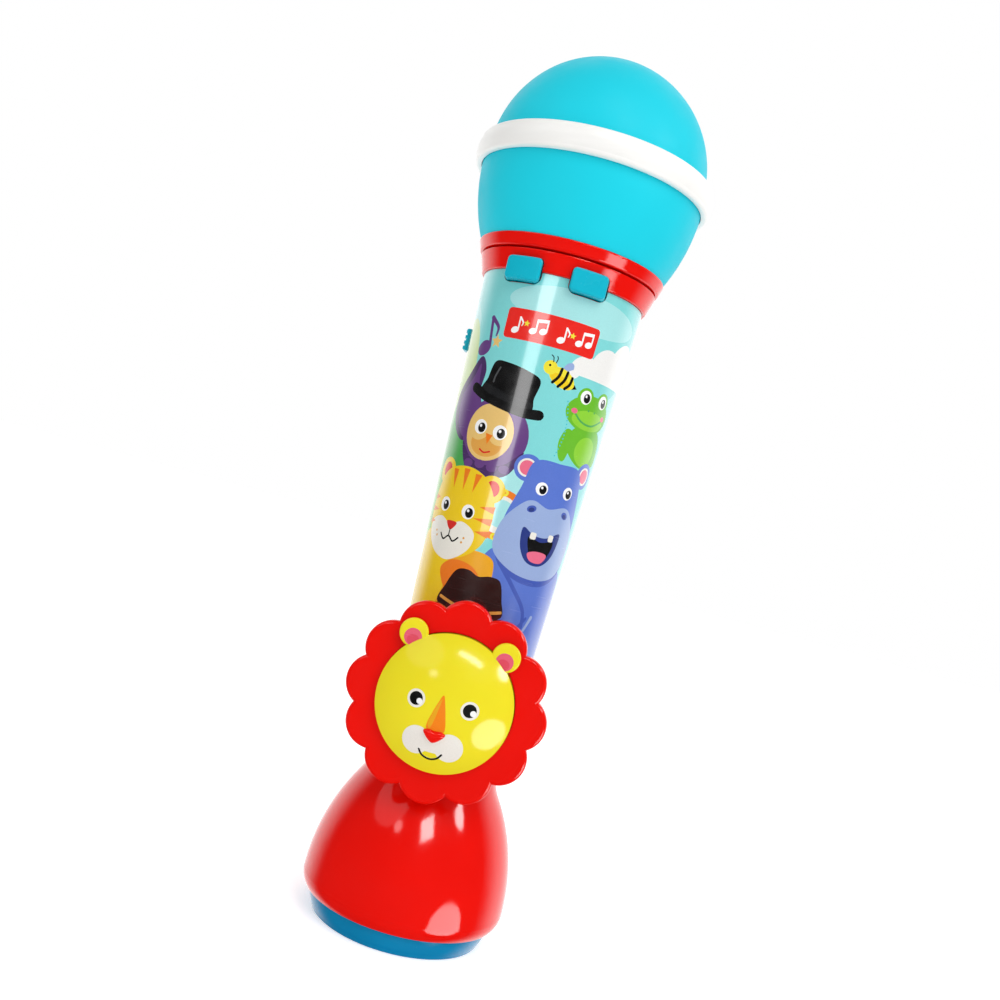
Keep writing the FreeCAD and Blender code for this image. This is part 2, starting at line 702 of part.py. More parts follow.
def mane_plate():
    """The red mane: a scalloped plate with a well for the face and three bosses for its screws."""
    plate = mane_outline().extrude(V(0, 0, MANE_FRONT - MANE_BACK))
    plate.translate(V(0, 0, MANE_BACK))
    plate = soft_edges(
        plate, 1.1, lambda e: e.BoundBox.ZMin > MANE_FRONT - 0.01 or e.BoundBox.ZMax < MANE_BACK + 0.01
    )
    well = Part.makeCylinder(FACE_R + FACE_GAP, 10, V(0, 0, MANE_FLOOR))
    hole = Part.makeCylinder(FACE_HOLE_R, 30)
    body = plate.cut([well, hole])
    centres = [on_circle(MANE_SCREW_R, a) for a in MANE_SCREW_ANGLES]
    bosses = [Part.makeCylinder(2.1, 3.4, V(x, y, MANE_FLOOR - 0.6)) for x, y in centres]
    pilots = [Part.makeCylinder(0.9 + SCREW_GAP, 3.8, V(x, y, MANE_BACK - 0.4)) for x, y in centres]
    return to_front(fused([body, *bosses]).cut(pilots), FACE_Z)


def mane_screws():
    screws = [
        screw((*on_circle(MANE_SCREW_R, a), PEDESTAL_PLATE), (0, 0, 1), 4.6, 0.9, 1.9, 1.1)
        for a in MANE_SCREW_ANGLES
    ]
    return to_front(group(screws), FACE_Z)


def cap_arc_r(rim_r, height):
    """The radius of a spherical cap with that rim and height."""
    return (rim_r**2 + height**2) / (2 * height)


def cap_steps(rim_r, rim_z, apex_z):
    """An arc step from a cap's rim to its apex."""
    arc = cap_arc_r(rim_r, apex_z - rim_z)
    half = rim_r / 2
    return ("arc", (half, apex_z - arc + math.sqrt(arc**2 - half**2)), (0, apex_z))


def face_solid(grow):
    """The face's outer shape, or that shape grown outwards."""
    rim = FACE_R + grow
    cap = cap_steps(rim, FACE_SKIRT_FRONT, FACE_APEX + grow)
    return lathe(section((0, FACE_SKIRT_BACK), (rim, FACE_SKIRT_BACK), (rim, FACE_SKIRT_FRONT), cap))


def face_dome():
    """The yellow face with its ears, on three snap legs, with a spring seat and a post inside it."""
    outer = face_solid(0)
    ears = []
    for side in (-1, 1):
        centre = V(side * EAR_CENTRE[0], EAR_CENTRE[1], EAR_BACK)
        ear = Part.makeCylinder(EAR_R, EAR_FRONT - EAR_BACK, centre)
        ears.append(soft_edges(ear, 0.5, lambda e: e.BoundBox.ZMin > EAR_FRONT - 0.01))
    inside_r = FACE_R - FACE_WALL
    inside = lathe(section(
        (0, FACE_SKIRT_BACK - 1), (inside_r, FACE_SKIRT_BACK - 1), (inside_r, FACE_SKIRT_FRONT - 0.3),
        cap_steps(inside_r, FACE_SKIRT_FRONT - 0.3, FACE_APEX - FACE_WALL),
    ))
    shell = fused([outer, *ears]).cut(inside)
    shape_limit = face_solid(-0.4)
    shape_limit = shape_limit.fuse(Part.makeCylinder(12.5, 10, V(0, 0, FACE_SKIRT_BACK - 6)))
    seat = V(0, 0, SPRING_SEAT)
    fittings = [Part.makeCylinder(7.0, 10, seat).cut(Part.makeCylinder(5.0, 10, seat))]
    fittings.append(Part.makeCylinder(1.4, 20, V(PAD_X, 0, PAD_TOP)))
    for angle in LEG_ANGLES:
        leg = block((8.7, 9.9), (-1.5, 1.5), (18.9, 34))
        hook = block((8.7, 10.9), (-1.5, 1.5), (18.9, PEDESTAL_PLATE - 0.2))
        for piece in (leg, hook):
            piece.rotate(V(), Z_AXIS, angle)
            fittings.append(piece)
    fittings = [piece.common(shape_limit) for piece in fittings]
    return to_front(fused([shell, *fittings]), FACE_Z)


def face_nose():
    """The raised red nose: a triangle with a round chin and a slightly arched top, set on the face."""
    half, top, chin = 2.95, 1.15, -1.85
    right, left = V(half, top, 0), V(-half, top, 0)
    low_right, low_left = V(0.45 * half, 0.65 * chin, 0), V(-0.45 * half, 0.65 * chin, 0)
    edges = [
        Part.Arc(right, V(0, top + 0.4, 0), left).toShape(),
        Part.LineSegment(left, low_left).toShape(),
        Part.Arc(low_left, V(0, chin, 0), low_right).toShape(),
        Part.LineSegment(low_right, right).toShape(),
    ]
    upright = Part.Face(Part.Wire(edges)).extrude(V(0, 0, 12))
    upright = soft_edges(upright, 0.35, lambda e: e.BoundBox.ZLength > 11)
    upright.translate(V(0, NOSE_Y, 27))
    nose = upright.common(face_solid(1.3))
    nose = soft_edges(nose, 0.3, lambda e: e.BoundBox.ZMin > 33.0)
    return to_front(nose.cut(face_solid(0.0)), FACE_Z)


def face_spring():
    return to_front(coil(SPRING_R, 0.35, FACE_BOARD_FRONT + 0.05, SPRING_SEAT - 0.05, 6), FACE_Z)


def face_pad():
    return to_front(rubber_pad(2.2, FACE_BOARD_FRONT + 0.02, PAD_TOP, (PAD_X, 0)), FACE_Z)


def face_board():
    """The small round circuit board behind the face."""
    thickness = FACE_BOARD_FRONT - FACE_BOARD_BACK
    board = Part.makeCylinder(PEDESTAL_BORE_R - 0.25, thickness, V(0, 0, FACE_BOARD_BACK))
    holes = [Part.makeCylinder(1.0, 5, point) for point in face_board_points(14)]
    return to_front(board.cut(holes), FACE_Z)


def face_board_screws():
    return to_front(group([
        screw(point, (0, 0, 1), 4.0, 0.9, 1.6, 1.0) for point in face_board_points(FACE_BOARD_BACK)
    ]), FACE_Z)


def face_led():
    """The light-emitting diode: a flanged lens with a round tip."""
    low = FACE_BOARD_FRONT + 0.02
    face = section(
        (0, low), (2.9, low), (2.9, low + 1), (2.5, low + 1), (2.5, 24.0),
        cap_steps(2.5, 24.0, 26.5),
    )
    return to_front(lathe(face), FACE_Z)


# ---------------------------------------------------------------- electronics
def main_board():
    """The main circuit board, held by the upper screw boss that passes through it."""
    board = block(
        (-BOARD_HALF_WIDTH, BOARD_HALF_WIDTH), (-BOARD_FRONT, -BOARD_BACK), (BOARD_BOTTOM, BOARD_TOP)
    )
    hole = cylinder(BOSS_R + 0.3, (0, 0, MIDDLE_BOSS_Z), (0, -20, MIDDLE_BOSS_Z))
    corners = [
        cylinder(1.0, (x, 0, BOARD_BOTTOM + 3), (x, -20, BOARD_BOTTOM + 3)) for x in (-10.5, 10.5)
    ]
    return board.cut([hole, *corners])


def sound_chip():
    """The epoxy drop over the sound chip, on the front of the board."""
    drop = lathe(section((0, 0), (5.5, 0), cap_steps(5.5, 0, 1.5)))
    drop.translate(V(-4, 138, BOARD_FRONT + 0.02))
    return to_front(drop)


def board_parts():
    """Two electrolytic capacitors, a crystal and a row of small chips on the front of the board."""
    front = BOARD_FRONT + 0.02
    cans = [Part.makeCylinder(2.5, 6.5, V(x, 121, front)) for x in (-7, 0)]
    crystal = rounded_plate(3.8, 8, 1.8, front, front + 3.2, (8, 122))
    chips = [
        rounded_plate(1.6, 3.0, 0.3, front, front + 0.7, (6 + 2.6 * (k % 3), 134 + 5 * (k // 3)))
        for k in range(6)
    ]
    return to_front(group([*cans, crystal, *chips]))


def speaker_basket():
    """The loudspeaker's steel basket: a flat rim and a cup that holds the magnet."""
    rim, cup = SPEAKER_R, 10.4
    face = section(
        (11.0, 0), (rim, 0), (rim, 0.9), (11.8, 0.9), (cup, 4.0), (5.0, 4.0), (5.0, 3.2), (9.8, 3.2)
    )
    basket = lathe(face)
    windows = []
    for angle in range(0, 360, 90):
        window = block((8.5, 12.2), (-3.2, 3.2), (1.3, 3.0))
        window.rotate(V(), Z_AXIS, angle + 45)
        windows.append(window)
    return speaker_place(basket.cut(windows))


def speaker_place(shape):
    """Turns a piece drawn with its sound face at z = 0 and its back at +z to face the rear."""
    placed = shape.copy()
    placed.rotate(V(), X_AXIS, 90)
    placed.translate(V(0, SPEAKER_FACE_Y, SPEAKER_Z))
    return placed


def speaker_cone():
    """The paper cone with its dust cap."""
    face = section((0, 0.4), (3.2, 1.2), (10.8, 0.05), (10.8, 0.35), (3.2, 2.6), (0, 2.6))
    return speaker_place(lathe(face))


def speaker_magnet():
    """The magnet and its back plate."""
    magnet = lathe(section((0, 4.05), (8.4, 4.05), (8.4, 8.2), (7.6, 8.2), (7.6, 9.2), (0, 9.2)))
    return speaker_place(magnet)


def speaker_gasket():
    """The foam ring between the loudspeaker and its seat."""
    ring = lathe(section((11.9, -0.08), (SPEAKER_R, -0.08), (SPEAKER_R, -0.02), (11.9, -0.02)))
    return speaker_place(ring)


# ---------------------------------------------------------------- battery box and foot
def battery_box():
    """The block that holds three upright cells, on a flange that sits on the foot's ledge."""
    tube = Part.makeCylinder(BOX_R, BOX_TOP - BOX_BOTTOM, V(0, 0, BOX_BOTTOM))
    flange = Part.makeCylinder(18.4, 1.6, V(0, 0, BOX_BOTTOM))
    bores, slots = [], []
    for angle in CELL_ANGLES:
        x, y = on_circle(CELL_CIRCLE, angle)
        bores.append(cylinder(BOX_BORE_R, (x, y, BOX_BOTTOM - 1), (x, y, BOX_ROOF)))
        slots.append(block((x - 1.2, x + 1.2), (y - 0.5, y + 0.5), (BOX_ROOF - 2, BOX_TOP + 1)))
    notches = [Part.makeCylinder(2.8, 8, V(x, 0, 2)) for x in (-DOOR_SCREW_X, DOOR_SCREW_X)]
    holes = [Part.makeCylinder(1.1, 6, V(0, y, 2)) for y in (-BOX_SCREW_Y, BOX_SCREW_Y)]
    return fused([tube, flange]).cut([*bores, *slots, *notches, *holes])


def battery_box_screws():
    return group([
        screw((0, y, BOX_BOTTOM + 1.6), (0, 0, -1), 3.2, 0.9, 1.8, 1.1) for y in (-BOX_SCREW_Y, BOX_SCREW_Y)
    ])


def battery_cells():
    """Three AAA cells, the last of them upside down."""
    cells = []
    for angle in CELL_ANGLES:
        can = Part.makeCylinder(CELL_R, CELL_LENGTH - 1.0, V(0, 0, 0))
        can = soft_edges(can, 0.4, lambda e: True)
        nub = Part.makeCylinder(1.9, 1.2, V(0, 0, CELL_LENGTH - 1.2))
        cell = fused([can, nub])
        if angle == CELL_ANGLES[-1]:
            cell.rotate(V(0, 0, CELL_LENGTH / 2), X_AXIS, 180)
        cell.translate(V(*on_circle(CELL_CIRCLE, angle), CELL_BOTTOM))
        cells.append(cell)
    return group(cells)


def battery_contacts():
    """The three plates at the top of the cells, with tabs that stand out of the box's roof."""
    low = CELL_BOTTOM + CELL_LENGTH + 0.05
    plates = []
    for angle in CELL_ANGLES:
        x, y = on_circle(CELL_CIRCLE, angle)
        plate = Part.makeCylinder(3.8, 0.4, V(x, y, low))
        tab = block((x - 1.0, x + 1.0), (y - 0.3, y + 0.3), (low, TAB_TOP))
        plates.append(fused([plate, tab]))
    return group(plates)


def base_foot():
    """The blue foot: a resting ring, a well for the door, and a spigot inside the casing's edge."""
    well = DOOR_R + 0.2
    ledge_r = well + 0.9
    spigot_r, spigot_top = 24.0, 8.4
    face = section(
        (13.4, DOOR_TOP + 0.05), (well, DOOR_TOP + 0.05), (well, 0), (22.4, 0),
        ("bend", (23.2, 0), (23.4, 0.9)),
        ("arc", (24.25, 3.0), (24.8, FOOT_TOP - 0.5)),
        ("bend", (24.9, FOOT_TOP), (24.5, FOOT_TOP)),
        (spigot_r, FOOT_TOP), (spigot_r, spigot_top), (spigot_r - 1, spigot_top), (spigot_r - 1, 2.0),
        (ledge_r, 2.0), (ledge_r, 3.9), (13.4, 3.9),
    )
    bosses = [
        Part.makeCylinder(2.4, 7.0, V(x, 0, DOOR_TOP + 0.05)) for x in (-DOOR_SCREW_X, DOOR_SCREW_X)
    ]
    door_pilots = [
        Part.makeCylinder(1.2 + SCREW_GAP, 7.5, V(x, 0, 0)) for x in (-DOOR_SCREW_X, DOOR_SCREW_X)
    ]
    foot_ways = []
    for angle in FOOT_SCREW_ANGLES:
        x, y = on_circle(FOOT_SCREW_R, angle)
        foot_ways.append(Part.makeCylinder(1.3, 4, V(x, y, -1)))
        foot_ways.append(Part.makeCylinder(2.3, 2.2, V(x, y, -1)))
    box_pilots = [
        Part.makeCylinder(0.9 + SCREW_GAP, 1.7, V(0, y, 2.35)) for y in (-BOX_SCREW_Y, BOX_SCREW_Y)
    ]
    return fused([lathe(face), *bosses]).cut([*door_pilots, *foot_ways, *box_pilots])


def foot_screws():
    return group([
        screw((*on_circle(FOOT_SCREW_R, a), 1.2), (0, 0, 1), 10.5, 1.1, 2.1, 0.9) for a in FOOT_SCREW_ANGLES
    ])


def battery_door():
    """The round door under the foot, with a finger recess and two screw seats."""
    disc = Part.makeCylinder(DOOR_R, DOOR_TOP - DOOR_BOTTOM, V(0, 0, DOOR_BOTTOM))
    disc = soft_edges(disc, 0.4, lambda e: e.BoundBox.ZMax < DOOR_BOTTOM + 0.01)
    seats = [Part.makeCylinder(2.6, 1.0, V(x, 0, 0.2)) for x in (-DOOR_SCREW_X, DOOR_SCREW_X)]
    ways = [Part.makeCylinder(1.4, 5, V(x, 0, 0)) for x in (-DOOR_SCREW_X, DOOR_SCREW_X)]
    ribs = [
        block((x - 0.5, x + 0.5), (-5.0, 5.0), (DOOR_BOTTOM - 1, DOOR_BOTTOM + 0.5))
        for x in (-4, -2, 0, 2, 4)
    ]
    return disc.cut([*seats, *ways, *ribs])


def battery_door_screws():
    return group([
        screw((x, 0, 1.2), (0, 0, 1), 6.1, 1.2, 2.4, 0.8) for x in (-DOOR_SCREW_X, DOOR_SCREW_X)
    ])


def door_contacts():
    """The contact plates on the inside of the door: one joins two cells, the other serves the third."""
    low, high = DOOR_TOP + 0.02, DOOR_TOP + 0.4
    discs = [Part.makeCylinder(4.3, high - low, V(*on_circle(CELL_CIRCLE, a), low)) for a in CELL_ANGLES]
    bridge = block((-6, 6), (-4.6, -1.8), (low, high))
    return group([fused([discs[1], discs[2], bridge]), discs[0]])


def door_springs():
    """The three battery springs on the door."""
    springs = []
    for angle in CELL_ANGLES:
        spring = coil(2.9, 0.3, DOOR_TOP + 0.45, CELL_BOTTOM - 0.05, 3)
        spring.translate(V(*on_circle(CELL_CIRCLE, angle), 0))
        springs.append(spring)
    return group(springs)


# ---------------------------------------------------------------- wires
def cell_tab(number):
    """The top of a battery contact's tab."""
    x, y = on_circle(CELL_CIRCLE, CELL_ANGLES[number])
    return x, y, TAB_TOP + 0.05


def battery_lead(number, side):
    """A wire from the top of a cell up to the back of the main board."""
    x, y, z = cell_tab(number)
    across = side * 7.2
    return lead([
        (x, y, z), (x, y, z + 9), (across, -1.2, 84), (across, -1.2, 104), (across, -4.0, 116),
        (across, -4.0, 124),
    ], 0.6)


def face_leads():
    """The pair of wires from the face's board up to the main board."""
    wires = []
    for side in (-1, 1):
        wires.append(lead([
            (side * 1.4, -15.6, FACE_Z - 9), (side * 1.4, -11.8, FACE_Z - 9),
            (side * 1.8, -8.6, FACE_Z - 1),
            (side * 5.2, -8.6, 92), (side * 5.2, -8.6, 106), (side * 9.4, -8.0, 113.5),
            (side * 11.6, -6.8, 118.0),
        ], 0.5))
    return group(wires)


def speaker_leads():
    """The pair of wires from the loudspeaker down to the main board."""
    wires = []
    for side in (-1, 1):
        wires.append(lead([
            (side * 3.0, SPEAKER_FACE_Y - 4.7, 127.0), (side * 3.0, 1.6, 125.6),
            (side * 3.0, -1.0, 121.5), (side * 3.0, -4.2, 119.5),
        ], 0.5))
    return group(wires)


def microphone_lead():
    """The screened wire from the main board up to the capsule."""
    return lead([
        (4.5, -3.9, 172.0), (4.5, -3.9, 178.0), (3.0, -1.5, 184.5), (0.4, 0.0, 190.5), (0, 0, 198),
        (0, 0, CAPSULE_BOTTOM - 0.15),
    ], 0.8)


# ---------------------------------------------------------------- the whole part
NODES = {
    "front_casing": front_casing,
    "rear_casing": rear_casing,
    "casing_screws": casing_screws,
    "barrel_label": barrel_label,
    "neck_ring": neck_ring,
    "head_cup": head_cup,
    "head_screws": head_screws,
    "head_band": head_band,
    "head_dome": head_dome,
    "capsule_bracket": capsule_bracket,
    "capsule_boot": capsule_boot,
    "microphone_capsule": microphone_capsule,
    "left_button": lambda: push_button(-1),
    "right_button": lambda: push_button(1),
    "left_button_pad": lambda: button_pad(-1),
    "right_button_pad": lambda: button_pad(1),
    "switch_knob": switch_knob,
    "switch_lever": switch_lever,
    "slide_switch": slide_switch,
    "mane_plate": mane_plate,
    "mane_screws": mane_screws,
    "face_dome": face_dome,
    "face_nose": face_nose,
    "face_spring": face_spring,
    "face_pad": face_pad,
    "face_board": face_board,
    "face_board_screws": face_board_screws,
    "face_led": face_led,
    "main_board": main_board,
    "sound_chip": sound_chip,
    "board_parts": board_parts,
    "speaker_basket": speaker_basket,
    "speaker_cone": speaker_cone,
    "speaker_magnet": speaker_magnet,
    "speaker_gasket": speaker_gasket,
    "battery_box": battery_box,
    "battery_box_screws": battery_box_screws,
    "battery_cells": battery_cells,
    "battery_contacts": battery_contacts,
    "base_foot": base_foot,
    "foot_screws": foot_screws,
    "battery_door": battery_door,
    "battery_door_screws": battery_door_screws,
    "door_contacts": door_contacts,
    "door_springs": door_springs,
    "positive_lead": lambda: battery_lead(2, 1),
    "negative_lead": lambda: battery_lead(1, -1),
    "face_leads": face_leads,
    "speaker_leads": speaker_leads,
    "microphone_lead": microphone_lead,
}


def main():
    os.makedirs("parts", exist_ok=True)
    for name, make in NODES.items():
        shape = make()
        good = shape.isValid() and all(solid.isClosed() for solid in shape.Solids)
        print(f"{name}: {len(shape.Solids)} solids, {shape.Volume:.1f} mm3, {'ok' if good else 'BAD'}")
        shape.exportStep(f"parts/{name}.step")


main()
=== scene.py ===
"""Looks of a toy microphone: materials, the film round its grip, the lion's face, light and camera."""

import json
import math

import bmesh
import bpy
import numpy as np
from mathutils import Matrix, Vector
from mathutils.geometry import delaunay_2d_cdt


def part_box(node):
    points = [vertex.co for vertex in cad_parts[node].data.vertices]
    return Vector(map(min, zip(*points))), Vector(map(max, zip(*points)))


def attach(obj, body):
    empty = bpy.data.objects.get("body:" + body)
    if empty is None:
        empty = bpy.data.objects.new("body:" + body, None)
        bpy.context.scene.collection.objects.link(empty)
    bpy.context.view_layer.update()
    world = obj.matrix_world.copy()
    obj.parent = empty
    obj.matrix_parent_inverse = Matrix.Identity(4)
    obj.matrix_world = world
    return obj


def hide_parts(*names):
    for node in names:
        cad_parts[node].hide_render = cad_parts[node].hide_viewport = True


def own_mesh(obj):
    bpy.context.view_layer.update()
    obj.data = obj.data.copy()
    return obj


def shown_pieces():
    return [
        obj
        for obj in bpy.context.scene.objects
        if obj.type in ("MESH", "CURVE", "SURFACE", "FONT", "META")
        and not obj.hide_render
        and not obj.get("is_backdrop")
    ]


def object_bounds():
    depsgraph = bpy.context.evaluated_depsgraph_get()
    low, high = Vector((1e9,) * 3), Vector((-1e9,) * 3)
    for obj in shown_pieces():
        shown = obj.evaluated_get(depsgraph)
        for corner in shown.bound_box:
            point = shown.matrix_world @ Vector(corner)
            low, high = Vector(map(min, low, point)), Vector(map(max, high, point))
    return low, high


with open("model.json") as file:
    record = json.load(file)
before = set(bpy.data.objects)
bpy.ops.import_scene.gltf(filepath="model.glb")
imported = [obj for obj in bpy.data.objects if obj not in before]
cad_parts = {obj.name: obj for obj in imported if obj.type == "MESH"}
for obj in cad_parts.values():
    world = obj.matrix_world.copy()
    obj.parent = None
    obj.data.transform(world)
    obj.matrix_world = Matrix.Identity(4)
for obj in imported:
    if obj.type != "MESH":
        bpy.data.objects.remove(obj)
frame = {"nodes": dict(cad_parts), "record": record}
NODES = frame["nodes"]
CAD_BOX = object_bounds()
HEIGHT = CAD_BOX[1].z
MM = 0.001


# ---------------------------------------------------------------- colours
def linear(code):
    """The linear RGBA of a colour written as six hexadecimal digits."""
    shares = [int(code[i:i + 2], 16) / 255 for i in (0, 2, 4)]
    return [c / 12.92 if c <= 0.04045 else ((c + 0.055) / 1.055) ** 2.4 for c in shares] + [1.0]


# ---------------------------------------------------------------- material tools
class Shader:
    """A material's node tree, with short ways to add the nodes that the materials here share."""

    def __init__(self, name):
        self.material = bpy.data.materials.new(name)
        self.material.use_nodes = True
        self.tree = self.material.node_tree
        self.body = self.tree.nodes["Principled BSDF"]
        self.place = self.add("ShaderNodeTexCoord").outputs["Object"]

    def add(self, kind, **settings):
        node = self.tree.nodes.new(kind)
        for key, value in settings.items():
            setattr(node, key, value)
        return node

    def plug(self, value, socket):
        """A link, where the value is a socket, or else a set value."""
        if isinstance(value, bpy.types.NodeSocket):
            self.tree.links.new(value, socket)
        else:
            socket.default_value = value

    def stretched(self, x, y, z):
        """The place, scaled along each axis."""
        node = self.add("ShaderNodeMapping")
        node.inputs["Scale"].default_value = (x, y, z)
        self.plug(self.place, node.inputs["Vector"])
        return node.outputs["Vector"]

    def noise(self, size, detail=3.0, roughness=0.5, place=None):
        """Noise whose patches are about that many metres across."""
        node = self.add("ShaderNodeTexNoise")
        self.plug(place or self.place, node.inputs["Vector"])
        node.inputs["Scale"].default_value = 1 / size
        node.inputs["Detail"].default_value = detail
        node.inputs["Roughness"].default_value = roughness
        return node.outputs["Fac"]

    def ranged(self, value, low, high, out_low, out_high):
        node = self.add("ShaderNodeMapRange", interpolation_type="SMOOTHSTEP")
        for socket, number in zip(node.inputs, (value, low, high, out_low, out_high)):
            self.plug(number, socket)
        return node.outputs["Result"]

    def sum(self, first, second, operation="ADD"):
        node = self.add("ShaderNodeMath", operation=operation)
        self.plug(first, node.inputs[0])
        self.plug(second, node.inputs[1])
        return node.outputs["Value"]

    def mix(self, share, first, second, blend="MIX"):
        node = self.add("ShaderNodeMix", data_type="RGBA", blend_type=blend)
        self.plug(share, node.inputs[0])
        self.plug(first, node.inputs[6])
        self.plug(second, node.inputs[7])
        return node.outputs[2]

    def bump(self, height, strength, depth, under=None):
        node = self.add("ShaderNodeBump")
        node.inputs["Strength"].default_value = strength
        node.inputs["Distance"].default_value = depth
        self.plug(height, node.inputs["Height"])
        if under:
            self.plug(under, node.inputs["Normal"])
        return node.outputs["Normal"]

    def set(self, **values):
        """Sets the shader's sockets, named in lower case with underscores."""
        for name, value in values.items():
            self.plug(value, self.body.inputs[name.replace("_", " ").title().replace("Ior", "IOR")])
        return self.material


def shade(colour, factor):
    """A lighter or darker version of a linear colour."""
    return [min(c * factor, 1.0) for c in colour[:3]] + [1.0]


def plastic(name, code, rough, grain=0.0, grain_size=0.3 * MM, peel=0.15, mottle=0.05, coat=0.0, glow=0.0,
            shine=0.5):
    """Moulded plastic: faint flow marks in its colour, orange peel or a fine eroded texture, rubbed patches
    and hairline scratches in its gloss."""
    s = Shader(name)
    colour = linear(code)
    flow = s.ranged(s.noise(28 * MM, 2.0), 0.3, 0.7, 0.0, 1.0)
    base = s.mix(flow, shade(colour, 1 - mottle), shade(colour, 1 + mottle))
    rubbed = s.ranged(s.noise(9 * MM, 4.0, 0.6), 0.35, 0.7, 0.93 * rough, 1.15 * rough)
    hairs = s.ranged(s.noise(0.5 * MM, 2.0, 0.5, s.stretched(1.0, 1.0, 0.05)), 0.66, 0.74, 0.0, 0.05)
    normal = s.bump(s.noise(2.6 * MM, 1.0), peel, 0.06 * MM)
    if grain:
        normal = s.bump(s.noise(grain_size, 2.0, 0.6), grain, 0.05 * MM, normal)
    s.set(base_color=base, roughness=s.sum(rubbed, hairs), normal=normal)
    s.set(specular_ior_level=shine, coat_weight=coat, coat_roughness=0.08)
    return s.set(subsurface_weight=glow, subsurface_scale=1.5 * MM)


def metal(name, code, rough, drawn=1.0):
    """Plated or drawn metal, with fine lines along its length and cloudy gloss."""
    s = Shader(name)
    colour = linear(code)
    lines = s.noise(0.25 * MM, 3.0, 0.6, s.stretched(1.0, 1.0, 0.12))
    cloud = s.noise(4 * MM, 3.0)
    base = s.mix(s.ranged(cloud, 0.3, 0.7, 0.0, 1.0), shade(colour, 0.88), shade(colour, 1.06))
    gloss = s.sum(s.ranged(cloud, 0.3, 0.7, 0.8 * rough, 1.2 * rough), s.ranged(lines, 0.4, 0.7, 0.0, 0.1))
    normal = s.bump(lines, 0.2 * drawn, 0.02 * MM)
    return s.set(base_color=base, roughness=gloss, normal=normal, metallic=1.0)


def rubber(name, code, rough=0.6):
    """Soft rubber, silicone or wire covering: a dull bloom over a fine skin."""
    s = Shader(name)
    colour = linear(code)
    bloom = s.ranged(s.noise(3 * MM, 4.0, 0.65), 0.35, 0.75, 0.0, 1.0)
    base = s.mix(bloom, colour, s.mix(0.12, colour, linear("ffffff")))
    normal = s.bump(s.noise(0.2 * MM, 2.0), 0.25, 0.04 * MM)
    return s.set(base_color=base, roughness=s.ranged(bloom, 0.0, 1.0, rough, rough + 0.2), normal=normal)


PAD_SPACING = 3.2 * MM      # between the pads of a circuit board
PAD_DISORDER = 0.35         # how far the pads stray from a square grid, from 0 to 1


def board(name):
    """A circuit board: solder mask over copper, with a net of traces and tinned pads under it."""
    s = Shader(name)
    distances = []
    for feature in ("DISTANCE_TO_EDGE", "F1"):
        cells = s.add("ShaderNodeTexVoronoi", feature=feature)
        cells.inputs["Scale"].default_value = 1 / PAD_SPACING
        cells.inputs["Randomness"].default_value = PAD_DISORDER
        s.plug(s.place, cells.inputs["Vector"])
        distances.append(cells.outputs["Distance"])
    from_edge, from_middle = distances
    trace = s.ranged(from_edge, 0.05, 0.08, 1.0, 0.0)
    pad = s.ranged(from_middle, 0.1, 0.13, 1.0, 0.0)
    mask = s.mix(trace, linear("0c5a30"), linear("2a8a4c"))
    base = s.mix(pad, mask, linear("cfcfc8"))
    gloss = s.sum(s.ranged(s.noise(4 * MM), 0.3, 0.7, 0.22, 0.34), s.ranged(pad, 0.0, 1.0, 0.0, 0.05))
    normal = s.bump(trace, 0.3, 0.04 * MM)
    return s.set(base_color=base, roughness=gloss, metallic=pad, normal=normal)


FINISHES = {
    "red_shell": lambda n: plastic(n, "f00e04", 0.1, peel=0.05, mottle=0.03),
    "head_cyan": lambda n: plastic(n, "0cd4e8", 0.5, grain=0.1, peel=0.03, mottle=0.02, shine=0.2),
    "white_band": lambda n: plastic(n, "fbfaf7", 0.3, peel=0.05, mottle=0.01),
    "foot_blue": lambda n: plastic(n, "008abc", 0.2, peel=0.03, shine=0.3),
    "face_yellow": lambda n: plastic(n, "f4e426", 0.13, peel=0.02, mottle=0.02, glow=0.1),
    "nose_red": lambda n: plastic(n, "f01206", 0.12, peel=0.03),
    "button_teal": lambda n: plastic(n, "02b8d0", 0.25, grain=0.03, peel=0.03, shine=0.25),
    "inner_plastic": lambda n: plastic(n, "33343a", 0.5, grain=0.2),
    "battery_box_plastic": lambda n: plastic(n, "26272b", 0.5, grain=0.2),
    "silicone": lambda n: rubber(n, "dcdcd6", 0.45),
    "boot_rubber": lambda n: rubber(n, "1b1b1d", 0.65),
    "gasket_foam": lambda n: rubber(n, "202022", 0.85),
    "screw_steel": lambda n: metal(n, "c9c9cc", 0.28),
    "spring_steel": lambda n: metal(n, "c4c4c8", 0.22),
    "contact_nickel": lambda n: metal(n, "d8d2c4", 0.18),
    "can_steel": lambda n: metal(n, "b9b9bd", 0.35),
    "capsule_aluminium": lambda n: metal(n, "d6d7da", 0.3),
    "magnet_black": lambda n: plastic(n, "1c1c1f", 0.45, grain=0.15),
    "cone_paper": lambda n: rubber(n, "24211e", 0.8),
    "board_green": board,
    "epoxy_black": lambda n: plastic(n, "0b0b0c", 0.15, peel=0.4),
    "led_lens": lambda n: plastic(n, "eef0ea", 0.08, mottle=0.01, coat=0.5, glow=0.3),
    "cell_jacket": lambda n: plastic(n, "20386a", 0.25, coat=0.3),
    "wire_red": lambda n: rubber(n, "c4160f", 0.4),
    "wire_black": lambda n: rubber(n, "141416", 0.4),
    "wire_white": lambda n: rubber(n, "e6e6e2", 0.4),
    "wire_grey": lambda n: rubber(n, "6c6d70", 0.45),
}


SLOTS = {part["node"]: part["material_slot"] for part in frame["record"]["subparts"]}


def dress_nodes():
    """Gives every CAD node the finish of its material slot."""
    made = {}
    for node, slot in SLOTS.items():
        if slot in FINISHES:
            made.setdefault(slot, FINISHES[slot](slot))
            mesh = NODES[node].data
            mesh.materials.clear()
            mesh.materials.append(made[slot])
    return made


FINISH = dress_nodes()


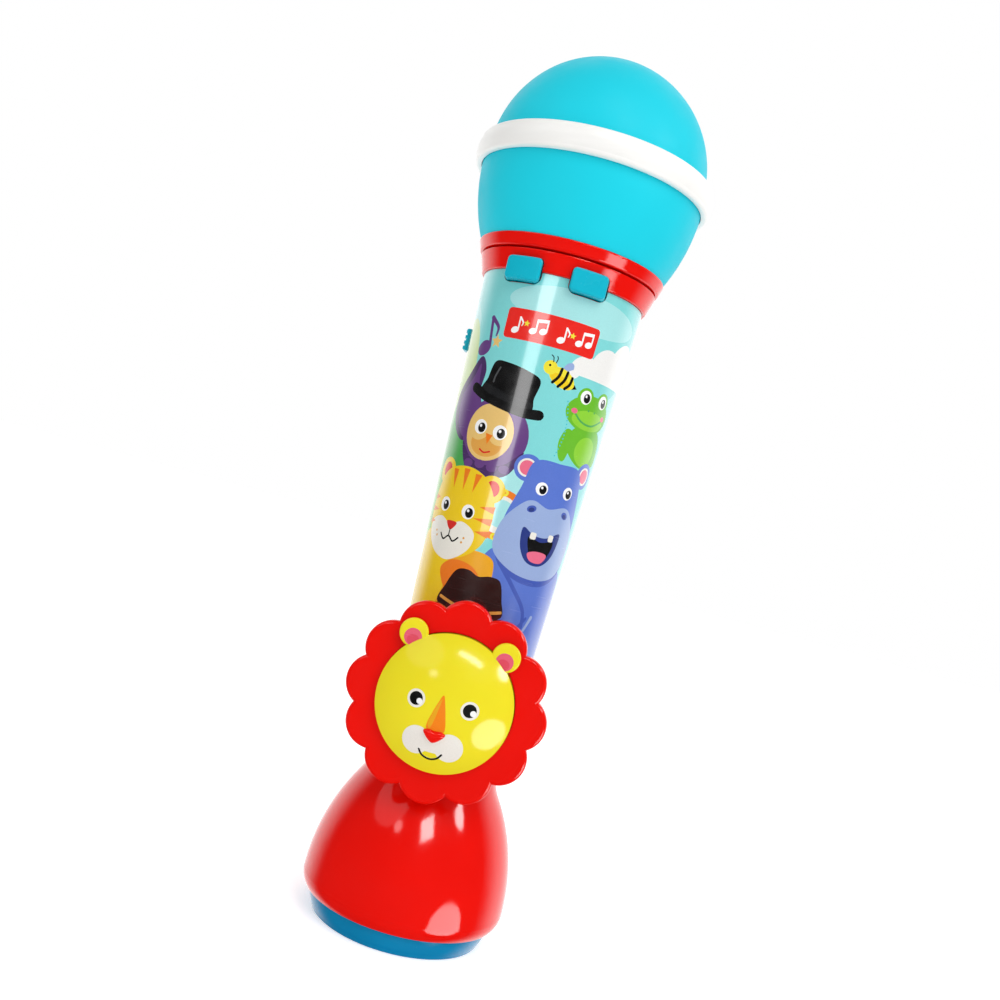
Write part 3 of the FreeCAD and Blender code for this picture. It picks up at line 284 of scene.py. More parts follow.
# ---------------------------------------------------------------- flat shapes for the prints, in millimetres
def oval(x, y, across, up=None, turn=0.0, points=36):
    """An ellipse given by its half widths."""
    up = up or across
    c, s = math.cos(math.radians(turn)), math.sin(math.radians(turn))
    ring = [math.tau * k / points for k in range(points)]
    flat = [(across * math.cos(a), up * math.sin(a)) for a in ring]
    return [(x + c * u - s * v, y + s * u + c * v) for u, v in flat]


def curve(points, closed=True, steps=7):
    """A smooth line through its points."""
    count = len(points)
    line = []
    for k in range(count if closed else count - 1):
        if closed:
            near = [Vector(points[(k + j) % count]) for j in (-1, 0, 1, 2)]
        else:
            near = [Vector(points[min(max(k + j, 0), count - 1)]) for j in (-1, 0, 1, 2)]
        for step in range(steps):
            t = step / steps
            bend = (near[2] - near[0]) * t
            bend += (2 * near[0] - 5 * near[1] + 4 * near[2] - near[3]) * t**2
            bend += (3 * near[1] - near[0] - 3 * near[2] + near[3]) * t**3
            line.append(tuple(near[1] + 0.5 * bend))
    return line if closed else [*line, tuple(points[-1])]


def stroke(points, width, smooth=True, taper=1.0):
    """The outline of a line with round ends, which narrows towards its end by the taper."""
    line = [Vector(q) for q in (curve(points, closed=False) if smooth else points)]
    left, right = [], []
    for k, here in enumerate(line):
        along = (line[min(k + 1, len(line) - 1)] - line[max(k - 1, 0)]).normalized()
        half = 0.5 * width * (1 + (taper - 1) * k / (len(line) - 1))
        side = Vector((-along.y, along.x)) * half
        left.append(here + side)
        right.append(here - side)
    ends = []
    for here, side in ((line[-1], left[-1]), (line[0], right[0])):
        arm = side - here
        cap = [Matrix.Rotation(-math.pi * k / 6, 2) @ arm + here for k in range(1, 6)]
        ends.append(cap)
    return [tuple(q) for q in [*left, *ends[0], *reversed(right), *ends[1]]]


def card(x, y, width, height, corner, turn=0.0):
    """A rectangle with round corners."""
    line = []
    spin = Matrix.Rotation(math.radians(turn), 2)
    for side_x, side_y, start in ((1, 1, 0), (-1, 1, 90), (-1, -1, 180), (1, -1, 270)):
        for step in range(5):
            a = math.radians(start + 22.5 * step)
            px = side_x * (width / 2 - corner) + corner * math.cos(a)
            py = side_y * (height / 2 - corner) + corner * math.sin(a)
            line.append(tuple(spin @ Vector((px, py)) + Vector((x, y))))
    return line


def star(x, y, size, tips=5, waist=0.45, turn=90.0):
    line = []
    for k in range(2 * tips):
        reach = size if k % 2 == 0 else waist * size
        a = math.radians(turn + 180 * k / tips)
        line.append((x + reach * math.cos(a), y + reach * math.sin(a)))
    return line


# Inks
SKY, MIST, WHITE, CLOUD = "84dede", "aceaea", "ffffff", "f6f5f2"
PLATE, BLACK, GREY, SLATE = "f2241a", "0a0a0b", "4d4e50", "1c1d1f"
PURPLE, PLUM, TAN, OCHRE = "6a4285", "4c2f66", "f0c878", "e8a84c"
LEAF, LIME, PALE_GREEN, MOSS = "6fc22c", "93d83a", "cfe6a4", "4fae57"
YELLOW, LEMON, AMBER, ORANGE = "f8d21c", "f8e83a", "f4ae20", "f47e1a"
CREAM, ROSE, RUBY, BROWN = "f4f1e6", "f0708e", "dd2a22", "341512"
VIOLET, INDIGO, PERIWINKLE, NAVY = "5c7ad4", "465eba", "9db3e0", "2c3c86"
CYAN, TEAL_INK, CORAL, BLUSH = "49c8d4", "1fa6b4", "f0607a", "ea4c62"
MUZZLE, BRIDGE = "f6f2ea", "ff8a14"


def note(x, y, size, ink):
    """A quaver."""
    head = oval(x, y, 0.34 * size, 0.26 * size, 20)
    stem_x = x + 0.27 * size
    stem = card(stem_x, y + 0.55 * size, 0.13 * size, 1.1 * size, 0.03 * size)
    flag = stroke([(stem_x, y + 1.05 * size), (stem_x + 0.3 * size, y + 0.7 * size),
                   (stem_x + 0.25 * size, y + 0.4 * size)], 0.17 * size, taper=0.4)
    return [(ink, head), (ink, stem), (ink, flag)]


def note_pair(x, y, size, ink):
    """Two quavers under one beam."""
    gap = 0.85 * size
    rise = 0.12 * size
    parts = []
    for step in (0, 1):
        px, py = x + (step - 0.5) * gap, y + step * rise
        parts.append((ink, oval(px, py, 0.32 * size, 0.25 * size, 20)))
        parts.append((ink, card(px + 0.25 * size, py + 0.5 * size, 0.13 * size, size, 0.03 * size)))
    top = y + size
    left, right = x - 0.5 * gap + 0.19 * size, x + 0.5 * gap + 0.31 * size
    beam = [(left, top - 0.25 * size), (right, top - 0.25 * size + rise), (right, top + rise), (left, top)]
    return [*parts, (ink, beam)]


def badge():
    """A plain plate with notes on it."""
    shapes = [(PLATE, card(0, 0, 25.4, 7.9, 1.0))]
    for k, make in enumerate((note, note_pair, note, note_pair)):
        shapes += make(-9.6 + 6.2 * k, -1.7 + 0.5 * (k % 2), 3.2, WHITE)
    shapes.append((LEMON, star(-6.7, 0.4, 0.9)))
    shapes.append((LEMON, star(5.6, 0.2, 0.9)))
    return shapes


def cloud(lumps):
    """Round lumps on one flat bottom."""
    return [(CLOUD, [(px, max(py, 0.0)) for px, py in oval(*lump)]) for lump in lumps]


def eye(x, y, size, look=(0.2, -0.1)):
    """A white eye with a dark pupil and a glint."""
    px, py = x + look[0] * size, y + look[1] * size
    return [
        (WHITE, oval(x, y, size)),
        (BLACK, oval(px, py, 0.6 * size, 0.68 * size)),
        (WHITE, oval(px - 0.2 * size, py + 0.26 * size, 0.2 * size, points=14)),
    ]


def bee():
    shapes = [
        (PERIWINKLE, oval(0.5, 2.9, 1.2, 2.0, -12)),
        (CLOUD, oval(2.3, 2.6, 1.1, 1.9, -42)),
        (BLACK, [(3.6, 0.9), (5.4, 0.1), (3.9, -1.0)]),
        (LEMON, oval(0.4, 0.1, 3.9, 2.3, -4)),
        (YELLOW, oval(0.4, -0.7, 3.3, 1.3, -4)),
    ]
    for x, half in ((-0.9, 2.1), (0.9, 2.2), (2.7, 1.7)):
        shapes.append((BLACK, stroke([(x - 0.25, -half), (x + 0.35, 0), (x + 0.05, half)], 0.75)))
    shapes.append((LEMON, oval(-3.6, 0.8, 1.8)))
    shapes.append((BLACK, oval(-4.0, 1.2, 0.32, points=12)))
    shapes.append((BLACK, stroke([(-3.7, 2.4), (-4.3, 3.4), (-5.0, 3.6)], 0.25)))
    shapes.append((BLACK, stroke([(-3.0, 2.5), (-3.1, 3.6), (-3.6, 4.1)], 0.25)))
    return shapes


def frog():
    return [
        (LEAF, curve([(-4, -11), (-5, -6), (-2, -3.5), (4, -3), (8, -6), (9, -12), (2, -14)])),
        (LIME, oval(2.2, -9.5, 4.2, 3.9)),
        (LEAF, curve([(-6.4, -13), (-7.6, -9), (-6.2, -5.2), (-3.6, -6.5), (-4.4, -13)])),
        (LEAF, oval(-3.2, 3.7, 2.7)),
        (LEAF, oval(3.6, 4.0, 2.7)),
        (LEAF, oval(0, 0, 8.2, 4.9, 3)),
        (LIME, oval(0.3, -1.6, 6.2, 2.6, 3)),
        *eye(-3.2, 3.9, 1.8),
        *eye(3.6, 4.2, 1.8),
        (MOSS, stroke([(-5.4, -0.6), (-2.5, -2.4), (1.5, -2.6), (5.6, -0.4)], 0.5)),
        (MOSS, oval(-1.1, 0.9, 0.3, points=12)),
        (MOSS, oval(1.3, 0.9, 0.3, points=12)),
        (ROSE, oval(-5.6, -0.2, 1.0, 0.7)),
        (ROSE, oval(5.9, 0.2, 1.0, 0.7)),
    ]


def owl():
    shapes = [
        (PLUM, curve([(-9, -3), (-15, 1), (-17, 8), (-12.5, 15), (-9, 19.5), (-6.5, 16), (-7, 9), (-4, 4)])),
        (PURPLE, curve([(-9, -2), (-13.5, 2), (-14.5, 8), (-10.5, 14), (-8.7, 17.5), (-7.8, 12), (-5, 5)])),
        (PURPLE, oval(0, 0, 9.6, 9.4)),
        (PLUM, curve([(-9, -3), (-6, -9.6), (0, -11), (6.5, -9.2), (9.3, -2.5), (5, -6.8), (0, -8),
                      (-5, -6.8)])),
        (TAN, oval(-1.3, 0.4, 6.9, 7.4)),
        (OCHRE, oval(-1.3, -2.4, 4.6, 3.6)),
        (TAN, oval(-4.2, 1.6, 3.4, 3.7)),
        (TAN, oval(2.0, 1.2, 3.4, 3.7)),
        *eye(-3.9, 1.4, 1.9),
        *eye(1.9, 0.9, 1.9),
        (ORANGE, [(-1.9, 0.1), (0.2, -0.2), (-0.9, -2.7)]),
        (RUBY, stroke([(-2.6, -4.3), (-1.2, -4.9), (0.4, -4.4)], 0.45)),
    ]
    for step, px in enumerate((-5.2, -1.6, 2.0, 5.4)):
        shapes.append((PURPLE, oval(px, -8.3 + 0.3 * (step % 2), 1.5, 1.1)))
    return shapes


def top_hat():
    return [
        (BLACK, stroke([(-10, 0.4), (-6, -0.5), (0, -0.8), (6, -0.5), (10, 0.6)], 2.6)),
        (BLACK, curve([(-6.8, 0), (-7.0, 4), (-6.6, 8.6), (-3, 9.6), (3, 9.6), (6.6, 8.6), (7.0, 4),
                       (6.8, 0)])),
        (SLATE, curve([(-6.8, 0.7), (0, 0.2), (6.8, 0.7), (6.9, 2.6), (0, 2.1), (-6.9, 2.6)], steps=3)),
        (GREY, stroke([(-4.6, 7.6), (-5.0, 5.0), (-4.9, 3.6)], 0.5)),
    ]


def striped_cat():
    shapes = [
        (AMBER, curve([(4, -9), (12, -9), (14, -13), (13, -22), (4, -26), (-8, -26), (-6, -14)])),
        (YELLOW, curve([(-12, -7), (-14, -14), (-15, -26), (-4, -29), (1, -20), (0, -10), (-6, -6)])),
        (ORANGE, curve([(3, -12), (9, -13), (12, -18), (8, -22), (2, -20), (-1, -15)])),
        (YELLOW, oval(-7.6, 9.9, 3.6)),
        (RUBY, oval(-7.5, 10.1, 1.9, 2.1)),
        (YELLOW, oval(8.1, 7.6, 3.6)),
        (RUBY, oval(8.3, 7.8, 1.9, 2.1)),
        (YELLOW, curve([(0, 12), (6, 10.2), (9.6, 5), (10.4, -1), (9, -7), (4.5, -11), (-2, -12), (-8, -9),
                        (-11, -3), (-10.6, 4), (-7, 10)])),
        (CREAM, curve([(-9.4, -3.6), (-5.4, -2.0), (-1.5, -3.4), (2.6, -2.2), (6.6, -4.6), (5.6, -9.2),
                       (0.5, -12.6), (-5, -11.4), (-9, -7.5)])),
    ]
    for x, y, length, lean in ((-3.6, 10.4, 4.6, 6), (0.2, 11.0, 5.4, 0), (4.0, 10.2, 4.6, -10)):
        tip = (x + length * math.sin(math.radians(lean)), y - length)
        shapes.append((ORANGE, [(x - 0.95, y + 0.4), tip, (x + 0.95, y + 0.4)]))
    for y, length in ((2.6, 3.8), (-0.6, 4.8), (-3.8, 3.6)):
        shapes.append((ORANGE, [(10.4, y + 0.95), (10.0 - length, y), (10.2, y - 0.95)]))
        shapes.append((ORANGE, [(-10.9, y + 0.8), (-10.4 + 0.6 * length, y), (-11.0, y - 0.8)]))
    shapes += eye(-5.0, 1.2, 1.9)
    shapes += eye(3.4, 0.6, 1.9)
    shapes += [
        (RUBY, curve([(-2.7, -3.0), (-1.0, -2.6), (0.9, -3.0), (-0.9, -5.0)], steps=5)),
        (BLACK, stroke([(-4.0, -6.4), (-2.6, -7.7), (-0.9, -6.6), (0.8, -7.7), (2.3, -6.5)], 0.45)),
        (BLACK, stroke([(-0.9, -4.8), (-0.9, -6.5)], 0.35, smooth=False)),
    ]
    for px, py in ((-6.2, -6.0), (-5.6, -7.2), (4.0, -6.2), (3.6, -7.4)):
        shapes.append((OCHRE, oval(px, py, 0.32, points=12)))
    return shapes


def tambourine():
    shapes = [(ORANGE, oval(0, 0, 6.6)), (CREAM, oval(0, 0, 4.9)), (MIST, oval(0.3, 0.3, 3.6))]
    for k in range(8):
        a = math.tau * k / 8
        shapes.append((LEMON, oval(5.75 * math.cos(a), 5.75 * math.sin(a), 0.95, points=16)))
        shapes.append((AMBER, oval(5.75 * math.cos(a), 5.75 * math.sin(a), 0.35, points=10)))
    return shapes


def hippo():
    return [
        (VIOLET, curve([(-14, -12), (-10, -8), (0, -9), (10, -10), (15, -16), (17, -40), (-6, -46),
                        (-17, -36), (-17, -20)])),
        (INDIGO, stroke([(-9, -12), (-3.5, -17.5), (1.5, -23), (2.5, -29)], 1.1)),
        (INDIGO, stroke([(3.2, -24.5), (-1, -30), (-4.5, -34)], 0.9)),
        (PERIWINKLE, stroke([(5.2, -24), (3.0, -28.5), (-0.6, -32.5)], 1.1, taper=0.4)),
        (VIOLET, oval(-8.4, 13.2, 3.5)),
        (CREAM, oval(-8.6, 13.2, 2.4)),
        (ROSE, oval(-8.6, 13.2, 1.9)),
        (VIOLET, oval(9.6, 15.2, 3.5)),
        (CREAM, oval(9.7, 15.2, 2.4)),
        (ROSE, oval(9.7, 15.2, 1.9)),
        (VIOLET, curve([(-7, 15.4), (0, 16.4), (7, 15.8), (10.4, 8), (12, -1), (10, -8), (-10, -9), (-11, -1),
                        (-8.8, 8)])),
        (INDIGO, curve([(-12, -6.2), (-9.5, -12.2), (-3, -15.6), (5, -15.6), (11, -12), (13.4, -6),
                        (11.6, -9.2), (5, -13.0), (-3.4, -13.2), (-9.6, -9.6)])),
        (PERIWINKLE, curve([(-7.6, 4.0), (-4.5, 5.6), (0, 4.4), (5.4, 5.8), (8.8, 4.2), (12.6, -1),
                            (13.2, -7), (9.6, -12.4), (2, -14.4), (-6, -13.2), (-11.8, -8.8),
                            (-11.4, -1.6)])),
        *eye(-3.4, 9.0, 1.7),
        *eye(4.9, 9.6, 1.7),
        (INDIGO, oval(-4.6, 3.4, 1.3, 0.9, 20)),
        (NAVY, oval(-4.6, 3.2, 0.8, 0.55, 20)),
        (INDIGO, oval(6.2, 3.8, 1.3, 0.9, -20)),
        (NAVY, oval(6.2, 3.6, 0.8, 0.55, -20)),
        (NAVY, curve([(-5.4, -1.6), (-2, -3.0), (2, -3.0), (6.6, -1.2), (6.0, -7.0), (2.6, -10.4),
                      (-2, -10.2), (-4.9, -6.6)])),
        (BLACK, curve([(-3.4, -3.8), (0.6, -4.4), (4.8, -3.6), (4.4, -7.0), (2.2, -9.2), (-1.2, -9.0)])),
        (ROSE, curve([(-2.4, -7.8), (0.4, -6.9), (3.8, -7.4), (2.4, -9.7), (-1.0, -9.7)])),
        (CREAM, card(-2.1, -3.2, 1.8, 1.8, 0.5)),
        (CREAM, card(3.6, -2.8, 1.8, 1.8, 0.5)),
    ]


def low_cap():
    """A plain brown cap."""
    return [
        (BROWN, curve([(-9.2, -6), (-8.0, -1.0), (-5.8, 3.4), (-2.6, 4.2), (0.2, 3.2), (3.2, 3.9), (6.0, 3.2),
                       (7.6, -1.2), (8.4, -6), (0, -8)])),
        (OCHRE, stroke([(-8.6, -4.2), (-3, -5.6), (3, -5.6), (8.2, -4.4)], 0.8)),
    ]


def flower(ink, size):
    petals = [(ink, oval(0.62 * size * math.cos(a), 0.62 * size * math.sin(a), 0.42 * size, points=18))
              for a in (math.tau * k / 5 + 0.3 for k in range(5))]
    stem = (MOSS, stroke([(0, 0), (0.2 * size, -1.6 * size), (0, -3.0 * size)], 0.2 * size))
    leaf = (LEAF, oval(0.7 * size, -1.9 * size, 0.6 * size, 0.25 * size, 35, 18))
    return [stem, leaf, *petals, (LEMON, oval(0, 0, 0.36 * size, points=18))]


def tree(ink, size):
    return [
        (BROWN, card(0, -0.9 * size, 0.22 * size, 1.3 * size, 0.05 * size)),
        (ink, oval(-0.32 * size, 0.0, 0.5 * size)),
        (ink, oval(0.34 * size, 0.02 * size, 0.48 * size)),
        (ink, oval(0, 0.42 * size, 0.52 * size)),
        (LIME, oval(-0.1 * size, 0.5 * size, 0.2 * size, 0.12 * size, 30, 18)),
    ]


def sun(size):
    rays = []
    for k in range(12):
        a = math.tau * k / 12
        rays.append((AMBER, [
            (1.55 * size * math.cos(a), 1.55 * size * math.sin(a)),
            (1.12 * size * math.cos(a + 0.13), 1.12 * size * math.sin(a + 0.13)),
            (1.12 * size * math.cos(a - 0.13), 1.12 * size * math.sin(a - 0.13)),
        ]))
    return [*rays, (LEMON, oval(0, 0, size)), (YELLOW, oval(0.1 * size, -0.1 * size, 0.78 * size))]


def drum():
    shapes = [
        (RUBY, card(0, 0, 12, 8, 0.8)),
        (CREAM, card(0, 4.0, 12.8, 1.5, 0.7)),
        (CREAM, card(0, -4.0, 12.8, 1.5, 0.7)),
        (CLOUD, oval(0, 5.4, 6.2, 1.5)),
    ]
    for k in range(4):
        shapes.append((LEMON, stroke([(-5 + 2.9 * k, 3.2), (-3.6 + 2.9 * k, -3.2)], 0.35, smooth=False)))
    return shapes


# ---------------------------------------------------------------- printed sheets
def inside(points, outline):
    """Which of the points (an array of x, y rows) lie inside the outline."""
    x, y = points[:, 0], points[:, 1]
    line = np.array(outline)
    found = np.zeros(len(points), bool)
    near = (x > line[:, 0].min()) & (x < line[:, 0].max()) & (y > line[:, 1].min()) & (y < line[:, 1].max())
    px, py = x[near], y[near]
    crossed = np.zeros(len(px), bool)
    for (ax, ay), (bx, by) in zip(line, np.roll(line, -1, axis=0)):
        if ay != by:
            crossed ^= ((ay > py) != (by > py)) & (px < (bx - ax) * (py - ay) / (by - ay) + ax)
    found[near] = crossed
    return found


def fine(outline, longest=1.3):
    """The outline with its long sides divided, so that it can follow a curved surface."""
    line = []
    for here, there in zip(outline, [*outline[1:], outline[0]]):
        parts = max(1, math.ceil(math.dist(here, there) / longest))
        line += [Vector(here).lerp(Vector(there), k / parts)[:] for k in range(parts)]
    return line


def split_sheet(shapes, edges, holes, grid, ground):
    """Cuts a flat sheet along every printed outline. Returns its points, its triangles and their inks.
    The sheet is what lies inside its edge and outside its holes. A ground of None leaves bare film out."""
    outlines = [edges, *map(fine, holes), *(fine(outline) for _, outline in shapes)]
    points, lines = [], []
    for outline in outlines:
        first, count = len(points), len(outline)
        points += [Vector(q) for q in outline]
        lines += [(first + k, first + (k + 1) % count) for k in range(count)]
    points += [Vector(q) for q in grid]
    cut = delaunay_2d_cdt(points, lines, [], 0, 1e-5)
    flat = np.array([tuple(v) for v in cut[0]])
    faces = np.array([f for f in cut[2] if len(f) == 3])
    middles = flat[faces].mean(axis=1)
    inks = np.full(len(faces), -1 if ground is None else 0)
    for number, (_, outline) in enumerate(shapes):
        inks[inside(middles, outline)] = number + 1
    kept = inside(middles, edges) & (inks >= 0)
    for hole in holes:
        kept &= ~inside(middles, hole)
    palette = np.array([linear(ground or WHITE), *(linear(ink) for ink, _ in shapes)])
    return flat, faces[kept], palette[inks[kept]]


def printed_skin(name, sheet, surface, thickness):
    """A thin closed skin with the sheet's inks on it. surface(x, y) gives a point and its outward normal."""
    flat, faces, colours = sheet
    used, faces = np.unique(faces, return_inverse=True)
    faces = faces.reshape(-1, 3)
    placed = [surface(*flat[k]) for k in used]
    merged, first = {}, []
    for k, (point, _) in enumerate(placed):
        first.append(merged.setdefault(tuple(round(c / (2e-3 * MM)) for c in point), k))
    faces = np.array(first)[faces]
    # A sliver loses a corner when its points are merged; such a face makes the mesh invalid.
    whole = (faces != np.roll(faces, 1, axis=1)).all(axis=1)
    faces, colours = faces[whole], colours[whole]
    count = len(placed)
    corners = [p for p, _ in placed] + [p - n * thickness for p, n in placed]
    normals = [n for _, n in placed]
    a, b, c = (Vector(corners[k]) for k in faces[0])
    if (b - a).cross(c - a).dot(normals[faces[0][0]]) < 0:
        faces = faces[:, ::-1]
    sides = {}
    for row, tri in enumerate(faces):
        for start, end in zip(tri, np.roll(tri, -1)):
            sides[int(start), int(end)] = row
    rims = [(s, e, row) for (s, e), row in sides.items() if (e, s) not in sides]
    outer = [tuple(int(k) for k in tri) for tri in faces]
    inner = [tuple(int(k) + count for k in tri[::-1]) for tri in faces]
    rim = [(e, s, s + count, e + count) for s, e, _ in rims]
    loops = [normals[k] for tri in outer for k in tri]
    loops += [-normals[k - count] for tri in inner for k in tri]
    for e, s, _, _ in rim:
        across = (corners[e] - corners[s]).cross(normals[s]).normalized()
        loops += [across] * 4
    inks = [colours[row] for row in range(len(outer)) for _ in range(3)]
    inks += [linear(CREAM)] * (3 * len(inner))
    inks += [linear(CREAM)] * (4 * len(rim))
    mesh = bpy.data.meshes.new(name)
    mesh.from_pydata(corners, [], [*outer, *inner, *rim])
    ink = mesh.color_attributes.new("ink", "FLOAT_COLOR", "CORNER")
    ink.data.foreach_set("color", np.array(inks, np.float32).ravel())
    mesh.shade_smooth()
    mesh.normals_split_custom_set([tuple(n) for n in loops])
    loose = [v for v in range(len(corners)) if first[v % count] != v % count]
    drop_points(mesh, loose)
    piece = bpy.data.objects.new(name, mesh)
    bpy.context.scene.collection.objects.link(piece)
    return piece


def drop_points(mesh, numbers):
    """Removes points that no face uses."""
    shape = bmesh.new()
    shape.from_mesh(mesh)
    shape.verts.ensure_lookup_table()
    bmesh.ops.delete(shape, geom=[shape.verts[k] for k in numbers], context="VERTS")
    shape.to_mesh(mesh)
    shape.free()


def printed(name, rough, coat, ripple):
    """Printed film or pad print: the inks, a faint print grain, and a clear coat that ripples a little."""
    s = Shader(name)
    ink = s.add("ShaderNodeAttribute", attribute_name="ink").outputs["Color"]
    cloudy = s.ranged(s.noise(5 * MM, 3.0, 0.6), 0.35, 0.7, 0.0, 0.008)
    grain = s.ranged(s.noise(0.18 * MM, 1.0), 0.35, 0.65, 0.0, 0.05)
    base = s.mix(grain, s.mix(cloudy, ink, linear(WHITE)), linear(BLACK))
    hairs = s.ranged(s.noise(0.6 * MM, 2.0, 0.5, s.stretched(0.06, 0.06, 1.0)), 0.64, 0.72, 0.0, 0.1)
    gloss = s.sum(s.ranged(s.noise(8 * MM), 0.3, 0.7, 0.8 * rough, 1.3 * rough), hairs)
    normal = s.bump(s.noise(7 * MM, 2.0), ripple, 0.08 * MM)
    return s.set(base_color=base, roughness=gloss, normal=normal, coat_weight=coat, coat_roughness=0.04)


# ---------------------------------------------------------------- film round the grip
def cone_of(node):
    """A node's lowest and highest edges as (height, radius), in millimetres."""
    points = [v.co / MM for v in NODES[node].data.vertices]
    low, high = min(p.z for p in points), max(p.z for p in points)
    rims = []
    for level in (low, high):
        rims.append((level, max(p.xy.length for p in points if abs(p.z - level) < 0.05)))
    return rims


FILM_LOW, FILM_HIGH = cone_of("barrel_label")
FILM_SLOPE = (FILM_HIGH[1] - FILM_LOW[1]) / (FILM_HIGH[0] - FILM_LOW[0])
FILM_R = 0.5 * (FILM_LOW[1] + FILM_HIGH[1])
FILM_THICKNESS = 0.24


def film_r(z):
    return FILM_LOW[1] + (z - FILM_LOW[0]) * FILM_SLOPE


def on_film(x, z):
    """A point of the flat film, wrapped round the grip: x is the distance round it at its mean radius."""
    a = x / FILM_R
    r = film_r(z)
    normal = Vector((math.sin(a), -math.cos(a), -FILM_SLOPE)).normalized()
    return Vector((r * math.sin(a), -r * math.cos(a), z)) * MM, normal


def laid(shapes, degrees, z, turn=0.0, size=1.0):
    """Shapes drawn round their own middle, laid on the flat film at that angle round it and height."""
    spin = Matrix.Rotation(math.radians(turn), 2) * size
    placed = []
    for ink, outline in shapes:
        line = []
        for point in outline:
            x, y = spin @ Vector(point)
            line.append((math.radians(degrees) * FILM_R + x * FILM_R / film_r(z), z + y))
        placed.append((ink, line))
    return placed


def film_hole(points, back=False):
    """The outline on the flat film of an opening seen straight from the front or the back, from x and z."""
    line = []
    for x, z in points:
        a = math.asin(x / film_r(z))
        line.append(((math.pi - a if back else a) * FILM_R, z))
    return line


def switch_hole(low, high, half):
    """The window for the slide switch, on the left side."""
    a = math.asin(half / film_r(0.5 * (low + high)))
    side = -0.5 * math.pi
    return card(side * FILM_R, 0.5 * (low + high), 2 * a * FILM_R, high - low, 0.6)


def node_middle(node):
    low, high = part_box(node)
    return (low + high) / 2 / MM


# Openings of the film, in millimetres
PEDESTAL_HOLE_R = 16.4
SPEAKER_HOLE_R = 12.2
SCREW_HOLE_R = 3.2
REAR_SCREW_Z = (100.0, 166.0)
SWITCH_HOLE = (-4.3, 7.3)     # its ends, from the middle of the knob
SWITCH_HOLE_HALF = 3.0
CAP_BACK = -16.5              # y of the back of the part of a button that stands in its window


def film_openings():
    """The holes in the film, for the lion, the screws, the loudspeaker and the slide switch."""
    holes = [film_hole(oval(0, node_middle("mane_plate").z, PEDESTAL_HOLE_R, points=72))]
    for screw_z in REAR_SCREW_Z:
        holes.append(film_hole(oval(0, screw_z, SCREW_HOLE_R), back=True))
    speaker_z = node_middle("speaker_basket").z
    holes.append(film_hole(oval(0, speaker_z, SPEAKER_HOLE_R, points=72), back=True))
    knob_z = node_middle("switch_knob").z
    holes.append(switch_hole(knob_z + SWITCH_HOLE[0], knob_z + SWITCH_HOLE[1], SWITCH_HOLE_HALF))
    return holes


def cap_box(node):
    """The box of the part of a button that stands in its window."""
    points = [v.co for v in NODES[node].data.vertices if v.co.y < CAP_BACK * MM]
    low = Vector([min(p[k] for p in points) for k in range(3)])
    high = Vector([max(p[k] for p in points) for k in range(3)])
    return low, high


BUTTON_CAPS = {node: cap_box(node) for node in ("left_button", "right_button")}


def button_holes():
    """The two notches in the film's top edge, as shapes cut out of it."""
    holes = []
    for node in ("left_button", "right_button"):
        low, high = (c / MM for c in BUTTON_CAPS[node])
        middle, size = (low + high) / 2, high - low
        outline = card(middle.x, middle.z, size.x + 0.8, size.z + 0.8, 2.0)
        holes.append(film_hole(outline))
    return holes


